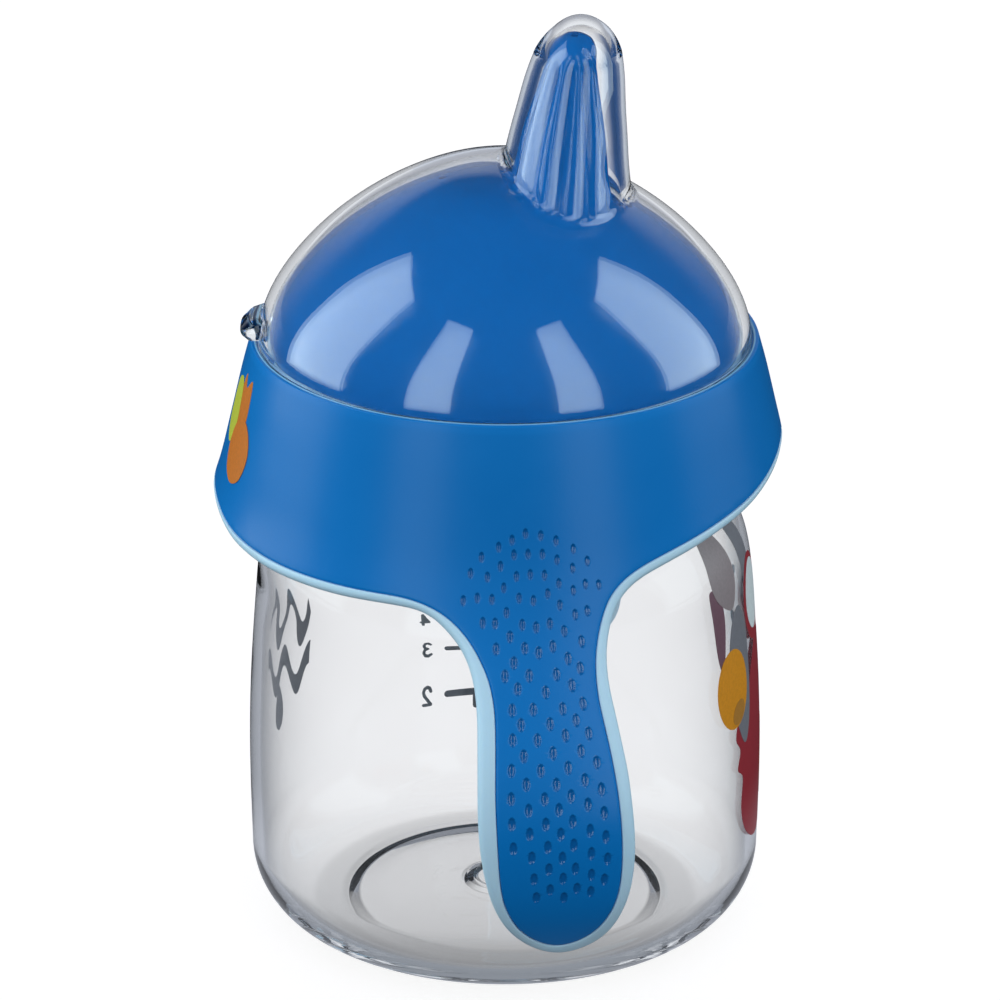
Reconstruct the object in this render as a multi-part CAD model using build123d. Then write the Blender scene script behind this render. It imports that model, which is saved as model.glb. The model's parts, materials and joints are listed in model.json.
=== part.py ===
from build123d import *
import math
import os

# Toddler's sippy cup with two drop handles, a screw collar, a spouted dome and a
# clear hygiene cap. Millimetres, +Z up. Origin: centre of the bottle's base, on the
# plane it stands on. +X: the drinking side. The handles stand at -Y and +Y.

# ---------------------------------------------------------------- driving sizes
BOTTLE_WALL = 1.5
FOOT_INNER_R, FOOT_OUTER_R = 22.8, 26.4    # flat foot ring
NECK_R, NECK_BORE = 30.6, 28.4
NECK_Z, NECK_TOP = 69.0, 83.0              # start of the straight neck, bottle rim
SEAL_TOP = NECK_TOP + 1.2                  # top of the gasket

THREAD_LEAD = 5.0                          # one turn lifts the collar this much
THREAD_ROOT_W, THREAD_CREST_W = 2.2, 1.1   # ridge widths along the axis
THREAD_BITE = 0.35                         # how far a ridge sinks into its wall
MALE_Z, MALE_TURNS = 71.8, 1.75            # middle of the ridge where it starts
FEMALE_Z, FEMALE_TURNS = 74.3, 1.4
MALE_CREST_R, FEMALE_CREST_R = 32.2, 31.0

SLEEVE_BORE, SLEEVE_R, SLEEVE_BOTTOM = 32.6, 34.4, 71.6
PLUG_R, PLUG_BORE = 30.1, 28.5
DECK_BORE, DECK_R = PLUG_R + 0.1, 34.3
DECK_BOTTOM, DECK_TOP = 86.4, 89.0
COLLAR_TOP = 89.6
LIP_R = 35.75                              # inside of the lip that rings the cap's rim
SKIRT_T, HANDLE_T = 3.4, 4.6               # whole thicknesses, overmould included
BLEND_BOTTOM, BLEND_TOP = 58.0, 68.0       # heights where handle thins to skirt
GRIP_T = 1.8                               # overmould thickness

DOME_WALL, CAP_WALL = 1.9, 1.3
TUBE_BOTTOM = 99.6                         # two tubes under the dome
FLOW_X, FLOW_R, FLOW_BORE = 8.6, 5.6, 4.3
VENT_X, VENT_R, VENT_BORE = -8.6, 4.6, 3.3
VENT_HOLE_R = 0.6
DRINK_HOLE_R, DRINK_HOLE_PITCH = 0.55, 1.5  # a row along Y across the spout's tip

# ---------------------------------------------------------------- outlines
# straight part of the bottle's outside, (r, z)
BODY_OUTSIDE = [(37.3, 11.0), (37.45, 18.0), (37.5, 27.0), (37.25, 36.0), (36.7, 45.0),
                (36.15, 52.0), (35.4, 58.0)]
# the same part inside: the end points sit off the plain wall offset
BODY_INSIDE = [(35.8, 11.5), *[(r - BOTTLE_WALL, z) for r, z in BODY_OUTSIDE[1:-1]],
               (33.95, 57.6)]
SHOULDER_OUTSIDE = [BODY_OUTSIDE[-1], (34.2, 61.6), (32.2, 64.6), (30.9, 67.0), (NECK_R, NECK_Z)]
SHOULDER_INSIDE = [(NECK_BORE, 68.6), (28.8, 66.6), (30.4, 63.6), (32.6, 60.8), BODY_INSIDE[-1]]
# inside floor from its lowest trough to the axis, (r, z)
FLOOR = [(25.4, 2.1), (24.3, 2.2), (23.1, 2.45), (21.8, 2.68), (19.0, 2.95), (12.0, 3.5),
         (0.0, 4.3)]
# hollow under the base from the axis to the foot, (r, z)
BASE = [(0.0, 2.4), (10.0, 1.95), (17.0, 1.45), (21.4, 0.8), (FOOT_INNER_R, 0.0)]

# outside of the skirt and handles, (r, z)
SHELL = [(49.9, 13.2), (51.3, 15.2), (53.0, 18), (54.8, 21.5), (56.3, 26), (57.0, 31),
         (56.95, 36), (56.0, 41), (54.1, 46), (51.3, 51), (48.05, 56), (45.55, 60),
         (43.95, 63), (42.7, 66), (41.35, 70), (40.1, 75), (38.93, 80), (37.75, 85),
         (36.5, COLLAR_TOP)]

# lower edge of the collar and outline of a handle, seen along Y, from -X to +X, (x, z)
RIM_BACK = [(-46.0, 68.4), (-43.4, 67.3), (-41.6, 66.3), (-40.0, 65.45), (-37.5, 64.85),
            (-34.6, 64.55), (-28.8, 64.36), (-23.0, 64.36), (-18.0, 64.47), (-14.6, 64.43),
            (-12.0, 64.1)]
RIM_HANDLE = [(-10.0, 63.3), (-8.1, 61.9), (-6.4, 60.15), (-5.3, 58.4), (-4.6, 56.6),
              (-4.16, 54.6), (-3.9, 52.0), (-3.83, 48.5), (-3.82, 44.3), (-3.8, 40.3),
              (-3.7, 37.3), (-3.5, 34.6), (-3.13, 31.56), (-2.6, 28.7), (-1.75, 25.4),
              (-0.5, 22.2), (1.32, 19.3), (3.9, 16.9), (7.5, 15.5), (11.2, 16.3),
              (13.8, 18.1), (15.4, 20.1), (16.65, 22.7), (17.5, 25.3), (18.05, 28.0),
              (18.36, 31.0), (18.42, 34.0), (18.25, 37.2), (17.85, 41.0), (17.3, 44.6),
              (16.5, 48.1), (15.7, 51.3), (14.95, 54.2), (14.5, 56.8), (14.42, 59.0),
              (14.7, 61.1), (15.25, 63.0), (16.2, 64.8)]
RIM_FRONT = [(17.8, 66.4), (21.7, 68.1), (27.4, 69.55), (31.8, 70.7), (36.2, 72.0),
             (39.7, 73.94), (43.0, 76.8), (46.0, 79.8)]
# the same for the overmould
GRIP_BACK = [(-46.0, 69.5), (-43.4, 68.4), (-41.6, 67.4), (-40.0, 66.55), (-37.5, 66.0),
             (-34.6, 65.75), (-28.8, 65.58), (-23.0, 65.58), (-18.0, 65.62), (-14.0, 65.5),
             (-11.2, 64.95)]
GRIP_HANDLE = [(-8.4, 63.75), (-6.1, 62.0), (-4.45, 60.1), (-3.3, 58.3), (-2.4, 56.5),
               (-1.8, 54.6), (-1.42, 52.3), (-1.28, 49.0), (-1.28, 45.0), (-1.26, 40.9),
               (-1.05, 36.3), (-0.86, 32.4), (-0.62, 29.2), (-0.2, 26.4), (0.6, 23.8),
               (2.0, 21.1), (4.1, 18.9), (7.4, 17.45), (10.8, 18.4), (13.0, 20.2),
               (14.7, 22.8), (15.7, 25.4), (16.23, 28.2), (16.46, 31.4), (16.43, 35.1),
               (16.12, 39.4), (15.5, 43.6), (14.7, 47.4), (13.8, 50.9), (13.15, 53.6),
               (12.8, 56.2), (12.78, 58.6), (13.1, 60.9), (13.75, 63.3), (14.8, 65.5)]
GRIP_FRONT = [(16.8, 67.5), (19.6, 68.9), (22.6, 69.8), (27.4, 70.95), (31.8, 72.0),
              (36.2, 73.25), (39.7, 75.15), (43.0, 78.0), (46.0, 81.0)]

# outside of the clear cap's dome, then of the spouted dome, (r, z)
CAP = [(35.5, 89.1), (35.3, 91.2), (34.95, 92.6), (33.75, 95.6), (31.95, 98.6), (29.6, 101.6),
       (26.75, 104.6), (23.25, 107.6), (18.9, 110.6), (13.2, 113.6), (7.3, 115.6), (0.0, 116.4)]
DOME = [(33.7, DECK_TOP), (33.55, 90.8), (33.1, 92.6), (31.85, 95.6), (29.85, 98.6),
        (27.2, 101.6), (23.9, 104.6), (19.8, 107.6), (14.6, 110.6), (8.6, 112.9), (0.0, 113.9)]
# clear cap's tab, (r, z)
CAP_TAB = [(34.8, 89.9), (37.2, 89.9), (38.0, 90.7), (38.0, 91.2), (36.2, 93.6), (34.8, 94.2),
           (34.8, 89.9)]

# elliptical sections: (z, centre x, half width along X, half width along Y)
SPOUT = [(106.0, 7.0, 9.2, 12.6), (110.0, 7.4, 8.3, 12.1), (113.0, 7.7, 7.5, 11.4),
         (116.0, 8.05, 6.9, 10.5), (120.0, 8.35, 6.25, 9.2), (124.0, 8.7, 5.4, 8.1),
         (128.0, 9.1, 4.4, 7.0), (131.0, 9.45, 3.75, 6.1), (133.2, 9.7, 3.05, 5.0),
         (134.7, 9.8, 2.1, 3.5), (135.3, 9.85, 1.0, 1.7)]
# the cap's housing over the spout, and the tip of its inside
HOUSING = [(108.0, 7.9, 10.5, 14.6), (112.0, 8.25, 9.75, 13.9), (115.6, 8.6, 9.05, 13.0),
           (120.0, 9.0, 8.4, 12.0), (124.0, 9.35, 7.8, 11.1), (128.8, 9.75, 7.0, 9.8),
           (132.2, 10.05, 6.15, 8.4), (134.8, 10.25, 4.9, 6.5), (136.4, 10.4, 3.4, 4.4),
           (137.2, 10.45, 1.9, 2.5), (137.5, 10.45, 0.9, 1.2)]
HOUSING_INNER_TIP = [(135.75, 10.35, 2.3, 3.7), (136.2, 10.4, 1.0, 1.8)]


# ---------------------------------------------------------------- helpers
def point(r, z):
    return Vector(r, 0, z)


def lines(*points):
    """Straight edges through (r, z) points."""
    return [Line(point(*a), point(*b)) for a, b in zip(points, points[1:])]


def curve(points, tangents=None):
    """Smooth edge through (r, z) points."""
    return Spline([point(*p) for p in points], tangents=tangents)


def arc(*points):
    return ThreePointArc(*[point(*p) for p in points])


def turned(edges):
    """Solid of revolution about Z from edges that close in the XZ plane."""
    return Part() + revolve(make_face(edges), Axis.Z, 360)


def ring(r0, r1, z0, z1):
    return turned(lines((r0, z0), (r1, z0), (r1, z1), (r0, z1), (r0, z0)))


def rod(x, r, z0, z1, y=0.0):
    return Pos(x, y, z0) * Cylinder(r, z1 - z0, align=(Align.CENTER, Align.CENTER, Align.MIN))


def block(x0, x1, half_y, z0, z1):
    return Pos((x0 + x1) / 2, 0, (z0 + z1) / 2) * Box(x1 - x0, 2 * half_y, z1 - z0)


def dome_solid(profile):
    """Solid dome under a profile that runs from its rim to the axis."""
    return turned([curve(profile)] + lines(profile[-1], (0, profile[0][1]), profile[0]))


def dome_core(profile, wall, drop):
    """Hollow of a dome: its profile moved in by the wall, the rim dropped to cut clear."""
    r_rim, z_rim = profile[0]
    core = [(r_rim - wall, z_rim - drop)]
    for (r_a, z_a), (r, z), (r_b, z_b) in zip(profile, profile[1:], profile[2:]):
        dr, dz = r_b - r_a, z_b - z_a
        length = math.hypot(dr, dz)
        core.append((r - dz / length * wall, z + dr / length * wall))
    core.append((0.0, profile[-1][1] - wall))
    return dome_solid(core)


def ellipse_loft(sections):
    return Part() + loft([Plane((x, 0, z)) * Ellipse(half_x, half_y)
                          for z, x, half_x, half_y in sections])


def inset(sections, dx, dy):
    return [(z, x, half_x - dx, half_y - dy) for z, x, half_x, half_y in sections]


def thread(root_r, crest_r, z_start, turns):
    """Trapezoid ridge swept along a right-handed helix, ends cut square."""
    path = Helix(pitch=THREAD_LEAD, height=THREAD_LEAD * turns, radius=root_r,
                 center=(0, 0, z_start), direction=(0, 0, 1))
    start = path @ 0
    plane = Plane(origin=start, x_dir=(start.X, start.Y, 0), z_dir=path % 0)
    depth = crest_r - root_r
    bite = -math.copysign(THREAD_BITE, depth)
    root, crest = THREAD_ROOT_W / 2, THREAD_CREST_W / 2
    section = Polyline((bite, -root), (depth, -crest), (depth, crest), (bite, root), close=True)
    return Part() + sweep(plane * make_face(section), path=path, is_frenet=True)


# ---------------------------------------------------------------- bottle and gasket
def make_bottle():
    edges = [arc((FOOT_OUTER_R, 0.0), (34.1, 3.2), BODY_OUTSIDE[0]),
             curve(BODY_OUTSIDE),
             curve(SHOULDER_OUTSIDE, tangents=[(-0.14, 0, 1), (0, 0, 1)])]
    edges += lines(SHOULDER_OUTSIDE[-1], (NECK_R, NECK_TOP), (NECK_BORE, NECK_TOP),
                   SHOULDER_INSIDE[0])
    edges += [curve(SHOULDER_INSIDE, tangents=[(0, 0, -1), (0.14, 0, -1)]),
              curve(BODY_INSIDE[::-1]),
              arc(FLOOR[0], (33.1, 4.75), BODY_INSIDE[0]),
              curve(FLOOR)]
    edges += lines(FLOOR[-1], BASE[0])
    edges += [curve(BASE)]
    edges += lines(BASE[-1], (FOOT_OUTER_R, 0.0))
    return turned(edges) + thread(NECK_R, MALE_CREST_R, MALE_Z, MALE_TURNS)


def make_neck_seal():
    return ring(NECK_BORE, NECK_R, NECK_TOP, SEAL_TOP)


# ---------------------------------------------------------------- collar, handles and grip
def layer(inner):
    """Turned layer between SHELL and an inner profile."""
    return turned([curve(SHELL)] + lines(SHELL[-1], inner[-1])
                  + [curve(inner[::-1])] + lines(inner[0], SHELL[0]))


def slab(points, top=95.0):
    """Outline in XZ, closed above the collar, pushed through along Y."""
    first, last = points[0], points[-1]
    edges = [curve(points)] + lines(last, (last[0], top), (first[0], top), first)
    return Part() + extrude(make_face(edges), amount=75, both=True)


def frame_thickness(z):
    blend = min(1.0, max(0.0, (BLEND_TOP - z) / (BLEND_TOP - BLEND_BOTTOM)))
    return SKIRT_T + (HANDLE_T - SKIRT_T) * blend


def make_cap_groove():
    """Room inside the collar's lip for the cap's rim."""
    return ring(28.0, LIP_R, DECK_TOP, 96.0)


def make_soft_grip():
    skin = layer([(r - GRIP_T, z) for r, z in SHELL])
    return (skin & slab(GRIP_BACK + GRIP_HANDLE + GRIP_FRONT)) - make_cap_groove()


def make_handle_ring(soft_grip):
    body = layer([(r - frame_thickness(z), z) for r, z in SHELL])
    frame = (body & slab(RIM_BACK + RIM_HANDLE + RIM_FRONT)) - make_cap_groove()
    frame = frame - soft_grip
    sleeve = ring(SLEEVE_BORE, SLEEVE_R, SLEEVE_BOTTOM, DECK_BOTTOM)
    deck = ring(DECK_BORE, DECK_R, DECK_BOTTOM, DECK_TOP)
    return frame + sleeve + deck + thread(SLEEVE_BORE, FEMALE_CREST_R, FEMALE_Z, FEMALE_TURNS)


# ---------------------------------------------------------------- dome with spout
def make_spout_dome():
    dome = dome_solid(DOME) + ellipse_loft(SPOUT)
    dome = dome - dome_core(DOME, DOME_WALL, drop=0.5)
    flange_top = DECK_TOP + 1.6
    flange = turned(lines((PLUG_BORE, DECK_TOP), (33.0, DECK_TOP), (32.3, flange_top),
                          (PLUG_BORE, flange_top), (PLUG_BORE, DECK_TOP)))
    plug = ring(PLUG_BORE, PLUG_R, SEAL_TOP, DECK_TOP + 0.4)
    dome = dome + flange + plug
    dome = dome + rod(FLOW_X, FLOW_R, TUBE_BOTTOM, 111.6) + rod(VENT_X, VENT_R, TUBE_BOTTOM, 111.0)
    # channel up the spout, tube bores, then the small holes to the outside
    dome = dome - ellipse_loft(inset(SPOUT[2:9], 1.7, 1.9))
    dome = dome - rod(FLOW_X, FLOW_BORE, TUBE_BOTTOM - 1, 115.0)
    dome = dome - rod(VENT_X, VENT_BORE, TUBE_BOTTOM - 1, 109.4)
    dome = dome - rod(VENT_X, VENT_HOLE_R, 108.0, 118.0)
    tip_x = SPOUT[-1][1]
    for i in (-1, 0, 1):
        dome = dome - rod(tip_x, DRINK_HOLE_R, 129.0, 137.0, y=i * DRINK_HOLE_PITCH)
    return dome


# ---------------------------------------------------------------- valve
CUP_BOTTOM, CUP_TOP = 96.6, 103.4
MEMBRANE_BOTTOM, MEMBRANE_TOP = 98.0, TUBE_BOTTOM
CUP_GAP = 0.06             # between a tube and its cup
CUP_RIM = 1.4              # cup's outside beyond the tube
MEMBRANE_GAP = 0.12        # between membrane and cup
FLOW_CUP_BORE, FLOW_CUP_R = FLOW_R + CUP_GAP, FLOW_R + CUP_RIM
VENT_CUP_BORE, VENT_CUP_R = VENT_R + CUP_GAP, VENT_R + CUP_RIM


def make_valve_carrier():
    carrier = (rod(FLOW_X, FLOW_CUP_R, CUP_BOTTOM, CUP_TOP)
               + rod(VENT_X, VENT_CUP_R, CUP_BOTTOM, CUP_TOP)
               + block(VENT_X, FLOW_X, 3.2, CUP_BOTTOM, MEMBRANE_BOTTOM))
    for x, bore in ((FLOW_X, FLOW_CUP_BORE), (VENT_X, VENT_CUP_BORE)):
        carrier = carrier - rod(x, bore, MEMBRANE_BOTTOM, CUP_TOP + 1)
    for x, hole_r in ((FLOW_X, 3.6), (VENT_X, 2.8)):
        carrier = carrier - rod(x, hole_r, CUP_BOTTOM - 1, MEMBRANE_BOTTOM + 1)
    # slot for the membrane's bridge
    carrier = carrier - block(VENT_X, FLOW_X, 1.6, MEMBRANE_BOTTOM, MEMBRANE_TOP - 0.3)
    # finger tab to pull the valve off with
    cup_edge = FLOW_X + FLOW_CUP_R
    return carrier + block(cup_edge - 1.0, cup_edge + 4.2, 3.0, CUP_BOTTOM, MEMBRANE_BOTTOM)


def teat(x, r, depth):
    """Blunt bulb hanging under the membrane."""
    top = MEMBRANE_BOTTOM
    side, tip = (r, top - depth * 0.35), (0, top - depth)
    bulb = curve([side, (r * 0.72, top - depth * 0.8), tip], tangents=[(0, 0, -1), (-1, 0, 0)])
    return Pos(x, 0, 0) * turned(lines((0, top), (r, top), side) + [bulb] + lines(tip, (0, top)))


def make_valve_membrane():
    bottom, top = MEMBRANE_BOTTOM, MEMBRANE_TOP
    membrane = (rod(FLOW_X, FLOW_CUP_BORE - MEMBRANE_GAP, bottom, top)
                + rod(VENT_X, VENT_CUP_BORE - MEMBRANE_GAP, bottom, top)
                + block(VENT_X, FLOW_X, 1.45, bottom, top - 0.45)
                + teat(FLOW_X, 3.4, 2.9) + teat(VENT_X, 2.6, 2.5))
    for x, dish_r in ((FLOW_X, 2.6), (VENT_X, 2.0)):
        membrane = membrane - (Pos(x, 0, top) * Sphere(dish_r))
    for x, slit in ((FLOW_X, 2.4), (VENT_X, 1.8)):
        membrane = membrane - block(x - slit / 2, x + slit / 2, 0.08, bottom - 4, top + 1)
    return membrane


# ---------------------------------------------------------------- clear cap
def make_hygiene_cap():
    tab = turned(lines(*CAP_TAB)) & block(-45, -25, 5.6, 85, 100)
    outer = dome_solid(CAP) + ellipse_loft(HOUSING) + tab
    housing_inside = inset(HOUSING[:8], CAP_WALL, CAP_WALL) + HOUSING_INNER_TIP
    inner = dome_core(CAP, CAP_WALL, drop=1.0) + ellipse_loft(housing_inside)
    # seat the rim on the deck
    return Pos(0, 0, DECK_TOP - CAP[0][1]) * (outer - inner)


# ---------------------------------------------------------------- files
grip = make_soft_grip()
nodes = {"bottle": make_bottle(), "neck_seal": make_neck_seal(),
         "handle_ring": make_handle_ring(grip), "soft_grip": grip,
         "spout_dome": make_spout_dome(), "valve_carrier": make_valve_carrier(),
         "valve_membrane": make_valve_membrane(), "hygiene_cap": make_hygiene_cap()}
os.makedirs("parts", exist_ok=True)
for name, part in nodes.items():
    part.label = name
    export_step(part, os.path.join("parts", name + ".step"))
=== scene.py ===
"""A clear drinking cup with a collar that carries two handles, a spout dome and a clear cap.

It stands on Z = 0 about the Z axis. The spout leans to +X, the cap's lift tab is at -X and
the handles hang down at -Y and +Y. The camera looks from -Y. Shapes are in millimetres;
lights, floor and camera are in metres.
"""
import json
import math

import bmesh
import bpy
import numpy as np
from mathutils import Matrix, Vector, kdtree
from mathutils.geometry import delaunay_2d_cdt

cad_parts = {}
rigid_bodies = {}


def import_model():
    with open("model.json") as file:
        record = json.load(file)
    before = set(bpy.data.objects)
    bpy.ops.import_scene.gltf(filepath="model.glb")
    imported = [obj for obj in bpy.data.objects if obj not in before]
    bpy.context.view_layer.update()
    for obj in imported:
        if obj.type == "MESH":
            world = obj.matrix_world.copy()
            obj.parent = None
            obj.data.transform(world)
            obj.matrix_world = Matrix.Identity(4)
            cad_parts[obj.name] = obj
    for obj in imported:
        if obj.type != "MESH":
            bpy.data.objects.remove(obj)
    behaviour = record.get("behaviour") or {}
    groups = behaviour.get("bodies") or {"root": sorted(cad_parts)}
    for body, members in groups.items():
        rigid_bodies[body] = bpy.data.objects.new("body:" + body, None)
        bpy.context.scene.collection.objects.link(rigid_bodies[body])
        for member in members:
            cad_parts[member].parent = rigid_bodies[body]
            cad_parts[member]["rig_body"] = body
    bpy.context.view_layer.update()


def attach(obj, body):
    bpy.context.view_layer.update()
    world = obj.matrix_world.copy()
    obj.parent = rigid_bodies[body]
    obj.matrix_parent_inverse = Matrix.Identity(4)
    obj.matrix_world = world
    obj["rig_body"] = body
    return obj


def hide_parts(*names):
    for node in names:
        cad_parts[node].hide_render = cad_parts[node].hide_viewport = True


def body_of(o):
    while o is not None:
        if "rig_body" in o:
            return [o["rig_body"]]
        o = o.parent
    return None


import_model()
scene = bpy.context.scene
MM = 0.001
PI = math.pi


# =====================================================================  curves
def run_lengths(points):
    """Length along a polyline at each of its points."""
    steps = np.sqrt((np.diff(points, axis=0) ** 2).sum(1))
    return np.concatenate([[0], np.cumsum(steps)])


def cubic(points, n):
    """Natural cubic spline through points, by chord length, sampled evenly."""
    p = np.array(points, float)
    run = run_lengths(p)
    last = len(p) - 1
    gap = np.diff(run)
    system = np.zeros((last + 1, last + 1))
    right = np.zeros((last + 1, p.shape[1]))
    system[0, 0] = system[-1, -1] = 1
    for i in range(1, last):
        system[i, i - 1] = gap[i - 1]
        system[i, i] = 2 * (gap[i - 1] + gap[i])
        system[i, i + 1] = gap[i]
        right[i] = 6 * ((p[i + 1] - p[i]) / gap[i] - (p[i] - p[i - 1]) / gap[i - 1])
    bend = np.linalg.solve(system, right)
    at = np.linspace(0, run[-1], n)
    k = np.clip(np.searchsorted(run, at, side="right") - 1, 0, last - 1)
    ahead, behind = (run[k + 1] - at)[:, None], (at - run[k])[:, None]
    width = gap[k][:, None]
    return ((bend[k] * ahead ** 3 + bend[k + 1] * behind ** 3) / (6 * width)
            + (p[k] / width - bend[k] * width / 6) * ahead
            + (p[k + 1] / width - bend[k + 1] * width / 6) * behind)


def resample(points, n):
    points = np.asarray(points, float)
    run = run_lengths(points)
    at = np.linspace(0, run[-1], n)
    return np.stack([np.interp(at, run, points[:, i]) for i in range(points.shape[1])], 1)


def rounded(points, n=6):
    """Polyline of (x, y, radius) corners with arcs put in; no radius keeps the corner."""
    out = []
    corners = [np.array(p[:2], float) for p in points]
    radii = [p[2] if len(p) > 2 else 0.0 for p in points]
    for i, corner in enumerate(corners):
        if i in (0, len(corners) - 1) or radii[i] <= 0:
            out.append(corner)
            continue
        back, ahead = corners[i - 1] - corner, corners[i + 1] - corner
        back_len, ahead_len = np.linalg.norm(back), np.linalg.norm(ahead)
        back, ahead = back / back_len, ahead / ahead_len
        angle = math.acos(max(-1, min(1, float(back @ ahead))))
        if angle > 3.10:    # all but straight
            out.append(corner)
            continue
        cut = min(radii[i] / math.tan(angle / 2), back_len * 0.48, ahead_len * 0.48)
        radius = cut * math.tan(angle / 2)
        middle = back + ahead
        centre = corner + middle / np.linalg.norm(middle) * (radius / math.sin(angle / 2))
        start, end = corner + back * cut - centre, corner + ahead * cut - centre
        sweep = math.acos(max(-1, min(1, float(start @ end) / radius / radius)))
        for k in range(n + 1):
            t = k / n
            arm = start * math.sin((1 - t) * sweep) + end * math.sin(t * sweep)
            out.append(centre + arm / math.sin(sweep))
    return np.array(out)


def clean(points, tolerance=1e-4):
    """Drops points that lie on the one before."""
    keep = [0]
    for i in range(1, len(points)):
        if np.linalg.norm(points[i] - points[keep[-1]]) > tolerance:
            keep.append(i)
    return points[keep]


def arc3(a, b, c, n=26):
    """Points on the circle through three points, from a to c by way of b."""
    (ax, ay), (bx, by), (cx, cy) = a, b, c
    d = 2 * (ax * (by - cy) + bx * (cy - ay) + cx * (ay - by))
    aa, bb, cc = ax * ax + ay * ay, bx * bx + by * by, cx * cx + cy * cy
    ux = (aa * (by - cy) + bb * (cy - ay) + cc * (ay - by)) / d
    uy = (aa * (cx - bx) + bb * (ax - cx) + cc * (bx - ax)) / d
    radius = math.hypot(ax - ux, ay - uy)
    start, _, end = np.unwrap([math.atan2(y - uy, x - ux) for x, y in (a, b, c)])
    angles = [start + (end - start) * k / n for k in range(n + 1)]
    return np.array([(ux + radius * math.cos(t), uy + radius * math.sin(t)) for t in angles])


def closed_curve(points, n=10):
    """Smooth closed outline through points (Catmull-Rom)."""
    p = np.array(points, float)
    count = len(p)
    out = []
    for i in range(count):
        a, b, c, d = p[i - 1], p[i], p[(i + 1) % count], p[(i + 2) % count]
        for k in range(n):
            t = k / n
            out.append(0.5 * ((2 * b) + (c - a) * t + (2 * a - 5 * b + 4 * c - d) * t * t
                              + (3 * b - 3 * c + d - a) * t ** 3))
    return np.array(out)


def smoothstep(start, end, x):
    t = np.clip((x - start) / (end - start), 0, 1)
    return t * t * (3 - 2 * t)


def inside_poly(points, poly):
    """Which 2D points lie inside a closed outline (even-odd rule, worked in blocks)."""
    hit = np.zeros(len(points), bool)
    x1, y1 = poly[:, 0], poly[:, 1]
    x2, y2 = np.roll(x1, -1), np.roll(y1, -1)
    block = 4000
    for k in range(0, len(points), block):
        x, y = points[k:k + block, 0, None], points[k:k + block, 1, None]
        crosses = (y1 > y) != (y2 > y)
        with np.errstate(divide="ignore", invalid="ignore"):
            cross_x = (x2 - x1) * (y - y1) / (y2 - y1) + x1
        hit[k:k + block] = (np.sum(crosses & (x < cross_x), 1) % 2) == 1
    return hit


# =====================================================================  meshes
def make(name, verts, faces, material):
    """Smooth-shaded object from points in millimetres."""
    mesh = bpy.data.meshes.new(name)
    mesh.from_pydata([tuple(v) for v in (np.asarray(verts, float) * MM)], [],
                     [tuple(int(i) for i in face) for face in faces])
    mesh.update()
    piece = bpy.data.objects.new(name, mesh)
    scene.collection.objects.link(piece)
    mesh.materials.append(material)
    mesh.polygons.foreach_set("use_smooth", [True] * len(mesh.polygons))
    return piece


def outward(piece):
    bm = bmesh.new()
    bm.from_mesh(piece.data)
    bmesh.ops.recalc_face_normals(bm, faces=bm.faces)
    if bm.calc_volume(signed=True) < 0:
        bmesh.ops.reverse_faces(bm, faces=bm.faces)
    bm.to_mesh(piece.data)
    bm.free()
    return piece


def solid(name, verts, faces, material):
    return outward(make(name, verts, faces, material))


def lathe(name, profile, material, n, loop=False, at=(0, 0, 0)):
    """Turns an (r, z) profile. Ends on the axis become poles; loop closes a ring section."""
    profile = clean(np.asarray(profile, float))
    if loop and np.linalg.norm(profile[0] - profile[-1]) < 1e-4:
        profile = profile[:-1]
    angles = np.arange(n) * 2 * PI / n
    verts, rows = [], []
    for r, z in profile:
        if r < 1e-5 and not loop:
            rows.append([len(verts)])
            verts.append((0, 0, z))
        else:
            rows.append(list(range(len(verts), len(verts) + n)))
            verts += [(r * math.cos(t), r * math.sin(t), z) for t in angles]
    faces = []
    pairs = list(zip(rows[:-1], rows[1:]))
    if loop:
        pairs.append((rows[-1], rows[0]))
    for a, b in pairs:
        for j in range(n):
            k = (j + 1) % n
            if len(a) == 1:
                faces.append((a[0], b[k], b[j]))
            elif len(b) == 1:
                faces.append((a[j], a[k], b[0]))
            else:
                faces.append((a[j], a[k], b[k], b[j]))
    return solid(name, np.array(verts) + np.array(at), faces, material)


def union(a, b, operation="UNION"):
    """Applies an exact boolean of b to a, and removes b."""
    modifier = a.modifiers.new("b", "BOOLEAN")
    modifier.operation, modifier.object, modifier.solver = operation, b, "EXACT"
    depsgraph = bpy.context.evaluated_depsgraph_get()
    mesh = bpy.data.meshes.new_from_object(a.evaluated_get(depsgraph))
    a.modifiers.remove(modifier)
    a.data = mesh
    bpy.data.objects.remove(b)
    mesh.polygons.foreach_set("use_smooth", [True] * len(mesh.polygons))
    return a


def finish_piece(piece, body, replaced=None, sharp=None):
    """Marks edges over `sharp` degrees, so smooth shading keeps them, and registers the piece."""
    if sharp is not None:
        bm = bmesh.new()
        bm.from_mesh(piece.data)
        limit = math.radians(sharp)
        for edge in bm.edges:
            if len(edge.link_faces) == 2:
                edge.smooth = edge.calc_face_angle(0) < limit
        bm.to_mesh(piece.data)
        bm.free()
    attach(piece, body)
    if replaced is not None:
        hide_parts(replaced)


# Both threads share their lead and section.
THREAD_LEAD = 5.0
THREAD_DEPTH = 1.6
THREAD_ROOT_W, THREAD_CREST_W = 2.2, 1.1
THREAD_BITE = 0.35          # how far the ridge is sunk into its wall


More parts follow.
